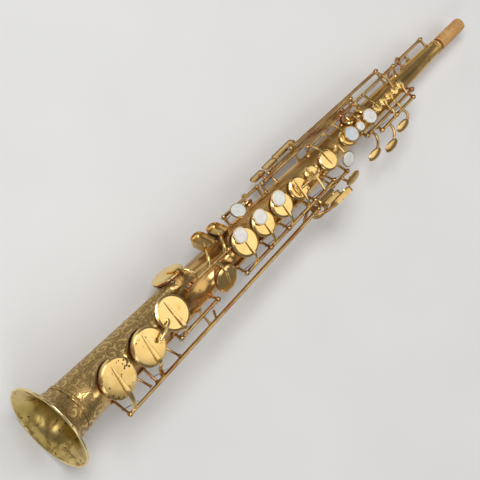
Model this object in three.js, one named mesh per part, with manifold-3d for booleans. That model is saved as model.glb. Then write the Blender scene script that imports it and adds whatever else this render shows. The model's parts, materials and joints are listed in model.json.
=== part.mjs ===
// A straight soprano saxophone, built from the body tube outwards: the tube with its tone holes, the ribs
// that carry the posts, and every key as a piece that turns between its own posts.
//
// It is drawn with the bell's rim on z = 0, the bore up +Z and the front, where the two stacks of keys lie,
// facing -Y. Places on the horn are given as station (height above the rim), x (towards the side of the
// left-hand table) and h (distance out of the bore's axis towards the front). Angles go round the bore from
// the front, positive towards +X. Lengths are millimetres. At the end the whole horn is laid on its back:
// bell towards -X, cork towards +X, resting on the rim and the thumb hook.
import * as THREE from "three";
import Module from "manifold-3d";
import { mergeVertices } from "three/addons/utils/BufferGeometryUtils.js";

const wasm = await Module();
wasm.setup();

// ---- driving dimensions ------------------------------------------------------------------------------------

const LENGTH = 650; // bell rim to the end of the cork
const BELL_RADIUS = 47;
const CONE_BASE_RADIUS = 25.8; // the cone's outside radius, run down to the rim plane
const CONE_TAPER = 0.0312; // radius lost per millimetre of height
const WALL = 0.9;
const FLARE_TOP = 26; // where the bell flare meets the body tube
const CORK_START = 611;
const CORK_RADIUS = 7.3;
const NECK_RADIUS = 5.8;
const BORE_TOP_RADIUS = 4.6;
const GAP = 0.3; // clearance between touching pieces
const SEAT_GAP = 0.25; // a closed pad's clearance over its tone hole

const TUBE_RADIUS = 1.8; // key hinge tubes
const ROD_RADIUS = 0.8; // steel rods through the stacks
const POST_STEM_RADIUS = 1.25;
const POST_HEAD_RADIUS = 2.4;
const POST_HEAD_HALF = 2.2;
const RIB_THICKNESS = 1;
const RIB_WIDTH = 4.4;
const ARM_THICKNESS = 1.7;
const PEARL_RADIUS = 7.4;
const SMALL_PEARL_RADIUS = 4.6;
const TOUCH_THICKNESS = 1.6;

// Each tone hole: station, angle, key cup radius, chimney height above the tube, key cup height.
const TONE_HOLES = {
  low_b_flat: [69, 10, 20.3, 3.4, 4.4],
  low_b: [112.5, 9, 19.3, 3.4, 4.4],
  c_sharp: [155, 0, 17.9, 3.4, 4.4],
  low_c: [187, -81, 16.6, 1.8, 4.4],
  e_flat: [225.5, 36, 13.8, 3.2, 4.2],
  d: [262.5, 0, 15.2, 3, 4.2],
  e: [292, 0, 13.6, 3, 4.2],
  f: [321.5, 0, 13.2, 3, 4.2],
  f_sharp: [349, 0, 11.8, 3, 3.8],
  f_trill: [310, -108, 6.3, 2.6, 3.2],
  g_sharp: [374, 0, 8.6, 2.6, 3.4],
  g: [397, 7, 11, 2.8, 3.8],
  a: [433, 0, 9.5, 2.8, 3.6],
  side_b_flat: [452.5, -42, 5.3, 2.2, 3],
  bis: [457.5, 0, 5.2, 2.2, 3],
  side_c: [473, -42, 5.3, 2.2, 3],
  b: [486, 0, 5.6, 2.4, 3.2],
  palm_d: [498, 0, 4.8, 2.4, 3],
  palm_e_flat: [508.3, 0, 4.8, 2.4, 3],
  high_e: [518.2, 0, 4.7, 2.4, 3],
  palm_f: [528, 0, 4.8, 2.4, 3],
};
// The two octave vents are narrow pips: station, angle, radius, height.
const OCTAVE_PIPS = { lower: [470, 165, 2.6, 3.2], upper: [573, -135, 2.4, 3.2] };
const PIP_PAD_RADIUS = 3.2;

// Hinge lines, each from its lower to its upper post: [station, x, h].
const HINGES = {
  low_b_flat: [[61, 40.4, 18.2], [355, 30.3, 16.6]],
  low_b: [[104.5, 39.2, 12.6], [355, 31.1, 11.2]],
  c_sharp_lever: [[187, 37.4, 7.2], [355, 31.9, 5.6]],
  c_sharp: [[149, 24.3, 19.8], [204, 22.5, 19.5]],
  foot: [[188.5, -6.9, 25.5], [244.6, -5, 24.3]],
  right_stack: [[246, 24.5, 19.8], [389.5, 20.9, 17.9]],
  trill: [[273.6, -27.9, 6], [323, -26.5, 6.2]],
  side_b_flat: [[331, -25.5, 5], [458, -22, 5.5]],
  side_c: [[349, -27, -3], [480.5, -23.3, -2]],
  high_e: [[385, -30, 1.5], [524.5, -26, 1]],
  g_sharp_lever: [[389.5, 26, 9], [414, 25.4, 8.6]],
  left_stack: [[393, -20.8, 14], [539, -18.6, 10.5]],
  palm_outer: [[477, 20.7, 11.2], [533.5, 19.1, 11]],
  palm_inner: [[457, 13.5, 14.2], [536.5, 12, 13.6]],
  upper_octave: [[555.5, -17.6, -1], [596, -17.2, -0.9]],
  octave_lever: [[428, -9.5, -17], [548, -7.5, -13.4]],
  lower_octave: [[456, 12.4, -11.8], [484, 12, -11.5]],
};

// ---- materials ---------------------------------------------------------------------------------------------

const finish = (color, roughness, metalness) => new THREE.MeshStandardMaterial({ color, roughness, metalness });
const OLD_LACQUER = finish(0x9a7a45, 0.42, 1);
const BRIGHT_BRASS = finish(0xd9ae5c, 0.22, 1);
const STEEL = finish(0x9a958c, 0.3, 1);
const PEARL = finish(0xe9e6dc, 0.18, 0);
const CORK = finish(0xc58a56, 0.9, 0);
const LEATHER = finish(0x7a3316, 0.7, 0);
const BLACK_RESIN = finish(0x15130f, 0.35, 0);

// ---- places ------------------------------------------------------------------------------------------------

const radians = THREE.MathUtils.degToRad;
const coneRadius = (station) => CONE_BASE_RADIUS - CONE_TAPER * station;
const place = ([station, x, h]) => new THREE.Vector3(x, -h, station);

// A frame on the horn: local x runs round the bore, y up it and z straight out of it.
function onHorn(station, angle, radius) {
  const a = radians(angle);
  const out = new THREE.Vector3(Math.sin(a), -Math.cos(a), 0);
  const round = new THREE.Vector3(Math.cos(a), Math.sin(a), 0);
  const up = new THREE.Vector3(0, 0, 1);
  return new THREE.Matrix4()
    .makeBasis(round, up, out)
    .setPosition(out.clone().multiplyScalar(radius).setZ(station));
}

// The section's (x, h) at an angle and a radius.
const section = (angle, radius) => [radius * Math.sin(radians(angle)), radius * Math.cos(radians(angle))];

// The point of a hinge line at a station.
function hingeAt(hinge, station) {
  const [low, high] = HINGES[hinge].map(place);
  return low.lerp(high, (station - low.z) / (high.z - low.z));
}

const hingeDirection = (hinge) => place(HINGES[hinge][1]).sub(place(HINGES[hinge][0])).normalize();

// A frame whose z runs from one point towards another.
function along(from, to) {
  const direction = to.clone().sub(from).normalize();
  const turn = new THREE.Quaternion().setFromUnitVectors(new THREE.Vector3(0, 0, 1), direction);
  return new THREE.Matrix4().compose(from, turn, new THREE.Vector3(1, 1, 1));
}

// ---- solids ------------------------------------------------------------------------------------------------

// A closed geometry as a solid, turned right side out if it was inside out.
function solid(geometry, matrix = new THREE.Matrix4()) {
  const bare = new THREE.BufferGeometry().setAttribute("position", geometry.getAttribute("position").clone());
  if (geometry.index) bare.setIndex(geometry.index.clone());
  bare.applyMatrix4(matrix);
  const merged = mergeVertices(bare.index ? bare.toNonIndexed() : bare, 1e-4);
  const build = (triVerts) =>
    new wasm.Manifold(new wasm.Mesh({
      numProp: 3, vertProperties: merged.attributes.position.array, triVerts,
    }));
  const corners = new Uint32Array(merged.index.array);
  const made = build(corners);
  return made.volume() > 0 ? made : build(corners.reverse());
}

const join = (parts) => parts.reduce((whole, part) => whole.add(part));

// A solid's faces as a geometry, with flat facets.
function facets(body) {
  const mesh = body.getMesh();
  const indexed = new THREE.BufferGeometry()
    .setAttribute("position", new THREE.BufferAttribute(new Float32Array(mesh.vertProperties), 3))
    .setIndex(new THREE.BufferAttribute(new Uint32Array(mesh.triVerts), 1));
  const flat = indexed.toNonIndexed();
  flat.computeVertexNormals();
  return flat;
}

// A turned piece: profile of [radius, height] about the frame's z axis, closed back to its start if it leaves
// the axis open.
function turned(profile, sides, matrix) {
  const closed = profile[0][0] > 0 ? [...profile, profile[0]] : profile;
  const points = closed.map(([r, z]) => new THREE.Vector2(r, z));
  return solid(new THREE.LatheGeometry(points, sides).rotateX(Math.PI / 2), matrix);
}

const disc = (radius, low, high, sides, matrix) =>
  turned([[0, low], [radius, low], [radius, high], [0, high]], sides, matrix);

// A round bar between two points.
function bar(from, to, radius, sides = 6) {
  return disc(radius, 0, from.distanceTo(to), sides, along(from, to));
}

// A round bar bent through points of the section: [station, x, h].
function bentBar(points, radius, steps = 5, sides = 5) {
  const path = new THREE.CatmullRomCurve3(points.map(place));
  const ring = new THREE.Shape();
  for (let i = 0; i < sides; i++) {
    const a = (2 * Math.PI * i) / sides;
    ring[i ? "lineTo" : "moveTo"](radius * Math.cos(a), radius * Math.sin(a));
  }
  return solid(new THREE.ExtrudeGeometry(ring, { steps, extrudePath: path, bevelEnabled: false }));
}

// A flat strap that follows points (x, h) across the horn at one station.
function strap(points, station, width, thickness = ARM_THICKNESS) {
  const line = points.map(([x, h]) => new THREE.Vector2(x, h));
  const normals = line.map((p, i) => {
    const before = line[Math.max(i - 1, 0)];
    const after = line[Math.min(i + 1, line.length - 1)];
    const run = after.clone().sub(before).normalize();
    return new THREE.Vector2(-run.y, run.x).multiplyScalar(thickness / 2);
  });
  const left = line.map((p, i) => p.clone().add(normals[i]));
  const right = line.map((p, i) => p.clone().sub(normals[i])).reverse();
  const geometry = new THREE.ExtrudeGeometry(new THREE.Shape([...left, ...right]), {
    depth: width,
    bevelEnabled: false,
  });
  const across = new THREE.Matrix4()
    .makeBasis(new THREE.Vector3(1, 0, 0), new THREE.Vector3(0, -1, 0), new THREE.Vector3(0, 0, -1))
    .setPosition(0, 0, station + width / 2);
  return solid(geometry, across);
}

// A finger plate with rounded ends: length up the horn, width round it, about the frame's z.
function fingerPlate(length, width, matrix, thickness = TOUCH_THICKNESS) {
  const outline = new THREE.Shape();
  const [w, l] = [width / 2, length / 2];
  const r = Math.min(w, l) * 0.7;
  outline.moveTo(-w + r, -l).lineTo(w - r, -l).absarc(w - r, -l + r, r, -Math.PI / 2, 0, false);
  outline.lineTo(w, l - r).absarc(w - r, l - r, r, 0, Math.PI / 2, false);
  outline.lineTo(-w + r, l).absarc(-w + r, l - r, r, Math.PI / 2, Math.PI, false);
  outline.lineTo(-w, -l + r).absarc(-w + r, -l + r, r, Math.PI, 1.5 * Math.PI, false);
  const geometry = new THREE.ExtrudeGeometry(outline, { depth: thickness, bevelEnabled: false, curveSegments: 2 });
  return solid(geometry.translate(0, 0, -thickness / 2), matrix);
}

// A frame for a plate or a pearl at a point of the section, facing an angle round the horn.
function facing([station, x, h], angle) {
  return onHorn(station, angle, 0).setPosition(place([station, x, h]));
}

// ---- key parts ---------------------------------------------------------------------------------------------

const seatRadius = (name) => coneRadius(TONE_HOLES[name][0]) + TONE_HOLES[name][3];
const cupTop = (name) => seatRadius(name) + SEAT_GAP + TONE_HOLES[name][4];
const cupSides = (radius) => (radius > 11 ? 14 : radius > 7 ? 10 : 8);
const PAD_DEPTH = 2.4;
const CUP_WALL = 0.7;

// A key cup over its closed tone hole, solid or hollowed for a separate pad.
function cup(name, hollow = false) {
  const [station, angle, radius, , height] = TONE_HOLES[name];
  const frame = onHorn(station, angle, seatRadius(name) + SEAT_GAP);
  const chamfer = Math.min(2.2, radius * 0.2);
  const lip = hollow ? 0.8 : 0;
  const body = [[radius, lip], [radius, height * 0.5], [radius - chamfer, height], [0, height]];
  const inner = radius - CUP_WALL;
  const base = hollow ? [[0, PAD_DEPTH + GAP], [inner, PAD_DEPTH + GAP], [inner, lip]] : [[0, 0]];
  return turned([...base, ...body], cupSides(radius), frame);
}

function pad(name) {
  const [station, angle, radius] = TONE_HOLES[name];
  const frame = onHorn(station, angle, seatRadius(name) + SEAT_GAP);
  return disc(radius - CUP_WALL - GAP, 0, PAD_DEPTH, cupSides(radius), frame);
}

// The arm from a hinge over a cup: it rises from the hinge to the cup's near edge and runs across the top,
// past the cup's middle by reach.
function cupArm(name, hinge, width, reach = 0, over = []) {
  const [station, angle, radius] = TONE_HOLES[name];
  const pivot = hingeAt(hinge, station);
  const [cx, ch] = section(angle, cupTop(name) + ARM_THICKNESS * 0.3);
  const [tx, th] = [Math.cos(radians(angle)), -Math.sin(radians(angle))];
  const side = Math.sign((pivot.x - cx) * tx + (-pivot.y - ch) * th);
  const atDistance = (d) => [cx + side * tx * d, ch + side * th * d];
  return strap([[pivot.x, -pivot.y], ...over, atDistance(radius * 0.9), atDistance(-reach)], station, width);
}

const hingeTube = (hinge, low, high) => bar(hingeAt(hinge, low), hingeAt(hinge, high), TUBE_RADIUS);

// The brass cup that holds a pearl, and the pearl itself, at a point of the section facing an angle.
const HOLDER_HEIGHT = 2.2;
const HOLDER_RIM = 0.9;
const PEARL_SEAT = 1;
function pearlHolder(spot, angle, radius = PEARL_RADIUS) {
  const outside = radius + HOLDER_RIM;
  const inside = radius + GAP;
  const profile = [[0, 0], [outside * 0.8, 0], [outside, 1], [outside, HOLDER_HEIGHT]];
  const bowl = [...profile, [inside, HOLDER_HEIGHT], [inside, PEARL_SEAT], [0, PEARL_SEAT]];
  return turned(bowl, 10, facing(spot, angle));
}
function pearl(spot, angle, radius = PEARL_RADIUS) {
  const low = PEARL_SEAT + GAP;
  return turned([[0, low], [radius, low], [radius, low + 1.2], [radius * 0.7, low + 1.9], [0, low + 2]], 10,
    facing(spot, angle));
}

// ---- ribs and posts ----------------------------------------------------------------------------------------

// A post: foot on the horn at an angle, head around a hinge line at a station.
function post(hinge, station, footAngle) {
  const head = hingeAt(hinge, station);
  const foot = new THREE.Vector3().setFromMatrixPosition(onHorn(station, footAngle, coneRadius(station) + 0.6));
  const half = hingeDirection(hinge).multiplyScalar(POST_HEAD_HALF);
  const barrel = bar(head.clone().sub(half), head.clone().add(half), POST_HEAD_RADIUS);
  return bar(foot, head, POST_STEM_RADIUS, 6).add(barrel);
}

// A rib: a strip along the tube, a hair off its surface, from one station to another.
function rib(low, high, angle, width = RIB_WIDTH) {
  const inside = (s) => coneRadius(s) + GAP;
  const outside = (s) => inside(s) + RIB_THICKNESS;
  const sleeve = turned([[inside(low), low], [outside(low), low], [outside(high), high], [inside(high), high]], 32,
    new THREE.Matrix4());
  const block = new THREE.BoxGeometry(width, high - low, 2 * CONE_BASE_RADIUS);
  return sleeve.intersect(solid(block, onHorn((low + high) / 2, angle, CONE_BASE_RADIUS)));
}

// ---- the instrument ----------------------------------------------------------------------------------------

const horn = new THREE.Group();

function fixed(name, body, material) {
  const mesh = new THREE.Mesh(facets(body), material);
  mesh.name = name;
  horn.add(mesh);
}

// One key: its pieces are drawn with the pad closed, hang from a group whose z is the hinge line, and are
// turned about it by the rest angle. pieces is a list of [node name, solid, material].
function key(bodyName, hinge, restAngle, pieces) {
  const [low, high] = HINGES[hinge].map(place);
  const frame = new THREE.Group();
  frame.name = "";
  frame.applyMatrix4(along(low, high));
  const turning = new THREE.Group();
  turning.rotation.z = radians(restAngle);
  turning.userData.body = bodyName;
  const toHinge = along(low, high).invert();
  for (const [name, body, material] of pieces) {
    const mesh = new THREE.Mesh(facets(body).applyMatrix4(toHinge), material);
    mesh.name = name;
    turning.add(mesh);
  }
  frame.add(turning);
  horn.add(frame);
}

// Body tube: cone and chimneys as one solid, less the bore and the tone holes.
function bodyTube() {
  const level = new THREE.Matrix4();
  const shell = [turned([[0, FLARE_TOP], [coneRadius(FLARE_TOP), FLARE_TOP],
    [coneRadius(CORK_START - 3), CORK_START - 3],
    [NECK_RADIUS, CORK_START - 2], [NECK_RADIUS - 0.3, LENGTH - 1], [0, LENGTH - 1]], 24, level)];
  const boreBase = coneRadius(FLARE_TOP) - WALL;
  const bore = [turned([[0, FLARE_TOP - 1], [boreBase + CONE_TAPER, FLARE_TOP - 1],
    [BORE_TOP_RADIUS + 0.6, CORK_START],
    [BORE_TOP_RADIUS, LENGTH], [0, LENGTH]], 24, level)];
  for (const [station, angle, radius, height] of Object.values(TONE_HOLES)) {
    const wallRadius = radius - Math.min(1.9, radius * 0.22);
    const sides = cupSides(radius);
    const seat = coneRadius(station) + height;
    shell.push(disc(wallRadius, 0, seat, sides, onHorn(station, angle, 0)));
    bore.push(disc(wallRadius - WALL, 0, seat + 1, sides, onHorn(station, angle, 0)));
  }
  for (const [station, angle, radius, height] of Object.values(OCTAVE_PIPS)) {
    const seat = coneRadius(station) + height;
    shell.push(disc(radius, 0, seat, 8, onHorn(station, angle, 0)));
    bore.push(disc(radius - 1.1, 0, seat + 1, 6, onHorn(station, angle, 0)));
  }
  return join(shell).subtract(join(bore));
}

// Bell: a short, sudden flare spun from sheet, open at both ends.
const FLARE = [[45.2, 1.6], [41, 2.6], [35.2, 5], [30.6, 8.6], [27.8, 13], [26, 19]];
function bellFlare() {
  const outside = [...FLARE, [coneRadius(FLARE_TOP - GAP), FLARE_TOP - GAP]];
  const inside = outside.map(([r, z], i) => [r - WALL * (i < 3 ? 0.45 : 1), z - WALL * (i < 3 ? 0.9 : 0)]);
  return turned([...outside, ...inside.reverse()], 28, new THREE.Matrix4());
}

fixed("body_tube", bodyTube(), OLD_LACQUER);
fixed("bell_flare", bellFlare(), BRIGHT_BRASS);

// The rim's rolled bead, flat underneath where the horn stands on it.
fixed("bell_rim_bead", turned([[BELL_RADIUS - 1.6, 0], [BELL_RADIUS - 0.4, 0], [BELL_RADIUS, 0.8],
  [BELL_RADIUS - 0.2, 1.8],
  [BELL_RADIUS - 1, 2.3], [BELL_RADIUS - 1.6, 0.9]], 28, new THREE.Matrix4()), BRIGHT_BRASS);

// The ring soldered over the joint of flare and tube, and the one below the cork.
const ringOver = (low, high, thickness) => {
  const inside = (s) => coneRadius(s) + GAP;
  return turned([[inside(low), low], [inside(low) + thickness, low + 0.4], [inside(high) + thickness, high - 0.4],
    [inside(high), high]], 24, new THREE.Matrix4());
};
fixed("bell_joint_ring", ringOver(FLARE_TOP, FLARE_TOP + 4.5, 0.7), BRIGHT_BRASS);
fixed("neck_ring", ringOver(CORK_START - 8, CORK_START - 3.4, 0.8), BRIGHT_BRASS);

// Cork sleeve on the neck, for the mouthpiece. Its far edge is rounded.
const corkBore = NECK_RADIUS + GAP;
fixed("mouthpiece_cork", turned([[corkBore, CORK_START], [CORK_RADIUS, CORK_START], [CORK_RADIUS, LENGTH - 2.4],
  [CORK_RADIUS - 0.4, LENGTH], [corkBore, LENGTH]], 16, new THREE.Matrix4()), CORK);

// Right thumb's hook, behind the lower stack: a foot on the tube and a broad bent plate the thumb goes under.
const HOOK_STATION = 290;
const HOOK_WIDTH = 12;
const HOOK_THICKNESS = 2.4;
const HOOK_FLAT = coneRadius(HOOK_STATION) + 16; // how far out of the axis the plate's flat lies
function thumbHook() {
  const foot = rib(HOOK_STATION - 9, HOOK_STATION + 9, 180, 11);
  const out = coneRadius(HOOK_STATION) + 1.9;
  const plate = strap([[3, -out], [-3, -out - 2.2], [-8.4, -HOOK_FLAT + 6], [-9.4, -HOOK_FLAT + 1.4],
    [-8, -HOOK_FLAT],
    [9.5, -HOOK_FLAT], [12.4, -HOOK_FLAT + 1.6], [14, -HOOK_FLAT + 5]], HOOK_STATION, HOOK_WIDTH, HOOK_THICKNESS);
  return foot.add(plate);
}
fixed("thumb_hook", thumbHook(), OLD_LACQUER);

// Left thumb's rest: a resin button on the back below the octave touch.
fixed("thumb_rest", turned([[0, 0], [6.6, 0], [6.6, 2], [5, 3.4], [0, 3.8]], 14,
  onHorn(408, 180, coneRadius(408) + GAP)), BLACK_RESIN);

// Strap ring on its foot, between the two hands.
function strapRing(station) {
  const foot = rib(station - 6, station + 6, 180, 7);
  const eye = solid(new THREE.TorusGeometry(4.6, 1.2, 6, 12).rotateY(Math.PI / 2),
    onHorn(station, 180, coneRadius(station) + 6));
  return foot.add(eye);
}
fixed("strap_ring", strapRing(352), OLD_LACQUER);

// A stay that steadies a long tube from below and just clears it.
function stay(hinge, station, footAngle) {
  const foot = new THREE.Vector3().setFromMatrixPosition(onHorn(station, footAngle, coneRadius(station) + 0.6));
  const tube = hingeAt(hinge, station + 3);
  const short = tube.clone().sub(foot).setLength(tube.distanceTo(foot) - TUBE_RADIUS - 0.8);
  return bar(foot, foot.clone().add(short), POST_STEM_RADIUS);
}

// Ribs, each a strip with the posts and stays it carries: [hinge, station, angle of the post's foot].
const RIBS = {
  bell_key_rib: [58, 190, 68, 5, [["low_b_flat", 61, 68], ["low_b", 104.5, 68], ["c_sharp_lever", 187, 68]],
    [["low_b_flat", 92.5, 68], ["low_b_flat", 134.5, 68]]],
  c_sharp_rib: [146.5, 206.5, 53.5, 3.4, [["c_sharp", 149, 53.5], ["c_sharp", 204, 53.5]]],
  foot_key_rib: [185.5, 247.6, -14, RIB_WIDTH, [["foot", 188.5, -14], ["foot", 244.6, -13]]],
  right_stack_rib: [243, 392, 52, 3.4, [["right_stack", 246, 52], ["right_stack", 284, 52],
    ["right_stack", 313.5, 52], ["right_stack", 357.5, 52], ["right_stack", 389.5, 52]]],
  trill_rib: [270.5, 326, -74, RIB_WIDTH, [["trill", 273.6, -74], ["trill", 323, -74]]],
  side_key_rib: [328, 527, -93, 3, [["side_b_flat", 331, -91], ["side_c", 349, -95], ["high_e", 385, -92],
    ["side_b_flat", 458, -92], ["side_c", 480.5, -95], ["high_e", 524.5, -92]]],
  table_rib: [346, 416, 84, 4, [["low_b_flat", 355, 86], ["low_b", 355, 84], ["c_sharp_lever", 355, 83],
    ["g_sharp_lever", 389.5, 83], ["g_sharp_lever", 414, 83]]],
  left_stack_rib: [390, 542, -72, 3, [["left_stack", 393, -71], ["left_stack", 447.6, -71],
    ["left_stack", 539, -71]]],
  palm_rib: [454, 539, 52, 4, [["palm_inner", 457, 47], ["palm_outer", 477, 58], ["palm_outer", 503.4, 58],
    ["palm_outer", 533.5, 56], ["palm_inner", 536.5, 47]]],
  thumb_rib: [425, 551, -152, RIB_WIDTH, [["octave_lever", 428, -152], ["octave_lever", 548, -152]]],
  lower_octave_rib: [453, 487, 132, RIB_WIDTH, [["lower_octave", 456, 132], ["lower_octave", 484, 132]]],
  octave_rib: [552.5, 599, -92, RIB_WIDTH, [["upper_octave", 555.5, -92], ["upper_octave", 596, -92]]],
};
// The two stacks turn on steel rods, so what lies on those lines is bored to clear them.
const rodHole = (hinge) => {
  const [low, high] = HINGES[hinge].map(place);
  const reach = hingeDirection(hinge).multiplyScalar(6);
  return bar(low.clone().sub(reach), high.clone().add(reach), ROD_RADIUS + GAP, 8);
};
const RIGHT_BORE = rodHole("right_stack");
const LEFT_BORE = rodHole("left_stack");
for (const [name, [low, high, angle, width, posts, stays = []]] of Object.entries(RIBS)) {
  const stems = [...posts.map((p) => post(...p)), ...stays.map((p) => stay(...p))];
  const whole = join([rib(low, high, angle, width), ...stems]);
  fixed(name, whole.subtract(RIGHT_BORE).subtract(LEFT_BORE), OLD_LACQUER);
}
const steelRod = (hinge) => {
  const [low, high] = HINGES[hinge].map(place);
  const reach = hingeDirection(hinge).multiplyScalar(POST_HEAD_HALF);
  return bar(low.clone().sub(reach), high.clone().add(reach), ROD_RADIUS, 8);
};
fixed("right_stack_rod", steelRod("right_stack"), STEEL);
fixed("left_stack_rod", steelRod("left_stack"), STEEL);

// ---- bell keys and the left-hand table ---------------------------------------------------------------------

key("low_b_flat", "low_b_flat", 6, [
  ["low_b_flat_key", join([
    cup("low_b_flat", true),
    hingeTube("low_b_flat", 64, 352),
    cupArm("low_b_flat", "low_b_flat", 4.2, 12),
    bentBar([[346, 30.6, 16.7], [350, 33.5, 21.5], [358, 36, 24.5], [366, 36.4, 25]], 1.6),
    fingerPlate(28, 12, facing([379, 35.8, 25], 82)),
  ]), BRIGHT_BRASS],
  ["low_b_flat_pad", pad("low_b_flat"), LEATHER],
]);

key("low_b", "low_b", 6, [
  ["low_b_key", join([
    cup("low_b", true),
    hingeTube("low_b", 107.5, 352),
    cupArm("low_b", "low_b", 4.2, 12, [[31, 17]]),
    bentBar([[346, 31.2, 11.3], [350, 36, 12], [358, 36.6, 16], [364, 32.5, 19.5]], 1.6, 5),
    fingerPlate(24, 11, facing([371.5, 31.2, 19.5], 78)),
  ]), BRIGHT_BRASS],
  ["low_b_pad", pad("low_b"), LEATHER],
]);

key("c_sharp", "c_sharp", 0, [
  ["c_sharp_key", join([
    cup("c_sharp"),
    hingeTube("c_sharp", 152, 201),
    cupArm("c_sharp", "c_sharp", 4, 11),
    bentBar([[196, 22.8, 19.4], [196, 24.4, 16], [196, 24.8, 12.4]], 1.2, 3),
    // The arm that reaches over to the low B cup.
    bentBar([[146.5, 1.6, 28.9], [143.5, 2.8, 33.4], [133, 6.2, 37.4], [123.5, 9, 36.6]], 1.3, 6),
    disc(2.6, 0, 1.4, 8, facing([123.5, 9, 35.4], 0)),
  ]), BRIGHT_BRASS],
]);

key("c_sharp_lever", "c_sharp_lever", 0, [
  ["c_sharp_lever", join([
    hingeTube("c_sharp_lever", 190, 352),
    bentBar([[196, 36.4, 7.1], [196, 32.4, 9.6], [196, 28.2, 13.4]], 1.2, 3),
    bentBar([[338, 32.3, 5.8], [343, 28, 8], [349, 24.6, 11.8], [356, 24.2, 14.6], [362, 27.2, 14]], 1.5),
    fingerPlate(24, 9, facing([371, 27.6, 13.6], 66)),
  ]), BRIGHT_BRASS],
]);

// ---- right-hand little finger: low C and E flat ------------------------------------------------------------

key("low_c", "foot", 5, [
  ["low_c_key", join([
    cup("low_c", true),
    hingeTube("foot", 191.3, 220),
    bentBar([[198, -6.8, 25.3], [197.5, -13, 29], [195, -18.5, 28.4], [190.5, -24.9, 21.6], [188, -26.1, 12.7],
      [187, -26.9, 5.5]], 1.6, 8),
    bentBar([[216, -6, 24.9], [221, -13, 26], [228, -18.8, 20.6], [233, -23, 15]], 1.6, 6),
    fingerPlate(14.5, 25, facing([234, -24.3, 13.6], -52)),
  ]), BRIGHT_BRASS],
  ["low_c_pad", pad("low_c"), LEATHER],
]);

key("e_flat", "foot", 0, [
  ["e_flat_key", join([
    cup("e_flat"),
    hingeTube("foot", 220.6, 241.8),
    cupArm("e_flat", "foot", 3.6, 9, [[2, 28.6]]),
    bentBar([[239, -5.2, 24.4], [243, -11, 26], [248, -17, 21.5], [252, -21.4, 16.2]], 1.5, 6),
    fingerPlate(14.5, 21, facing([253.5, -22.9, 14.2], -52)),
  ]), BRIGHT_BRASS],
]);

// ---- lower stack, right hand -------------------------------------------------------------------------------

// A stack key with a pearl over its cup: tube ends, pearl's offset across the cup and its station.
function stackKey(name, hinge, restAngle, tube, pearlStation, pearlX, bore, width = 3) {
  const spot = [pearlStation, pearlX, cupTop(name) + 0.4];
  const whole = join([cup(name), hingeTube(hinge, ...tube), cupArm(name, hinge, width, 2), pearlHolder(spot, 0)]);
  key(name, hinge, restAngle, [
    [name + "_key", whole.subtract(bore), BRIGHT_BRASS],
    [name + "_pearl", pearl(spot, 0), PEARL],
  ]);
}

stackKey("d", "right_stack", 7, [249, 281], 260.6, -8.6, RIGHT_BORE);
stackKey("e", "right_stack", 7, [287, 310.5], 290.8, -7.8, RIGHT_BORE);
stackKey("f", "right_stack", 7, [316.5, 334], 320.6, -7.8, RIGHT_BORE);

// The F sharp cup closes with the F key, and its bar holds the G sharp cup down.
key("f_sharp", "right_stack", 7, [
  ["f_sharp_key", join([
    cup("f_sharp"),
    hingeTube("right_stack", 334.6, 354.5),
    cupArm("f_sharp", "right_stack", 3, 9),
    bentBar([[351, 2, cupTop("f_sharp")], [358, 1.5, cupTop("f_sharp") + 3.4], [366, 1, cupTop("f_sharp") + 4.6],
      [376, 0.5, cupTop("f_sharp") + 4]], 1.3, 6),
  ]).subtract(RIGHT_BORE), BRIGHT_BRASS],
]);

key("f_trill", "trill", 0, [
  ["f_trill_key", join([
    cup("f_trill"),
    hingeTube("trill", 276.5, 320),
    bentBar([[310, -26.8, 6], [310, -29, 0], [310, -26, -6], [310, -20.8, -6.8]], 1.3, 6),
    bentBar([[285, -27.7, 6], [285, -28, 10], [285, -23.6, 14.2]], 1.2, 4),
    pearlHolder([284.8, -23.2, 14.6], -25),
  ]), BRIGHT_BRASS],
  ["f_trill_pearl", pearl([284.8, -23.2, 14.6], -25), PEARL],
]);

// ---- G sharp -----------------------------------------------------------------------------------------------

key("g_sharp", "right_stack", 0, [
  ["g_sharp_key", join([
    cup("g_sharp"),
    hingeTube("right_stack", 360.5, 386.5),
    cupArm("g_sharp", "right_stack", 2.6, 2),
    bentBar([[383.5, 21.2, 17.6], [384, 21.6, 14.4], [384, 21.4, 11.6]], 1.1, 3),
  ]).subtract(RIGHT_BORE), BRIGHT_BRASS],
]);

key("g_sharp_lever", "g_sharp_lever", 0, [
  ["g_sharp_lever", join([
    hingeTube("g_sharp_lever", 392.3, 411.2),
    bentBar([[394.5, 26, 8.9], [394.5, 25.9, 12.8], [389, 25.4, 13.2], [384, 24.2, 12]], 1.1, 5),
    bentBar([[404, 26, 8.8], [404, 31, 12], [404, 31.8, 20.4]], 1.5, 3),
    fingerPlate(21, 13, facing([405.5, 31.4, 21], 50)),
  ]), BRIGHT_BRASS],
]);

// ---- upper stack, left hand --------------------------------------------------------------------------------

key("g", "left_stack", -7, [
  ["g_key", join([
    cup("g"),
    hingeTube("left_stack", 395.7, 423),
    cupArm("g", "left_stack", 2.6, 6),
    strap([[-20.4, 13.5], [-17, 18.4], [-9, 20.6], [6, 21], [14.8, 18.4]], 415.5, 3),
    pearlHolder([414.8, 15, 17.8], 35),
  ]).subtract(LEFT_BORE), BRIGHT_BRASS],
  ["g_pearl", pearl([414.8, 15, 17.8], 35), PEARL],
]);

key("a", "left_stack", -6.5, [
  ["a_key", join([
    cup("a"),
    hingeTube("left_stack", 423.6, 445),
    cupArm("a", "left_stack", 2.6, 1),
    pearlHolder([437.2, 0.5, cupTop("a") + 0.4], 0),
  ]).subtract(LEFT_BORE), BRIGHT_BRASS],
  ["a_pearl", pearl([437.2, 0.5, cupTop("a") + 0.4], 0), PEARL],
]);

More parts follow.
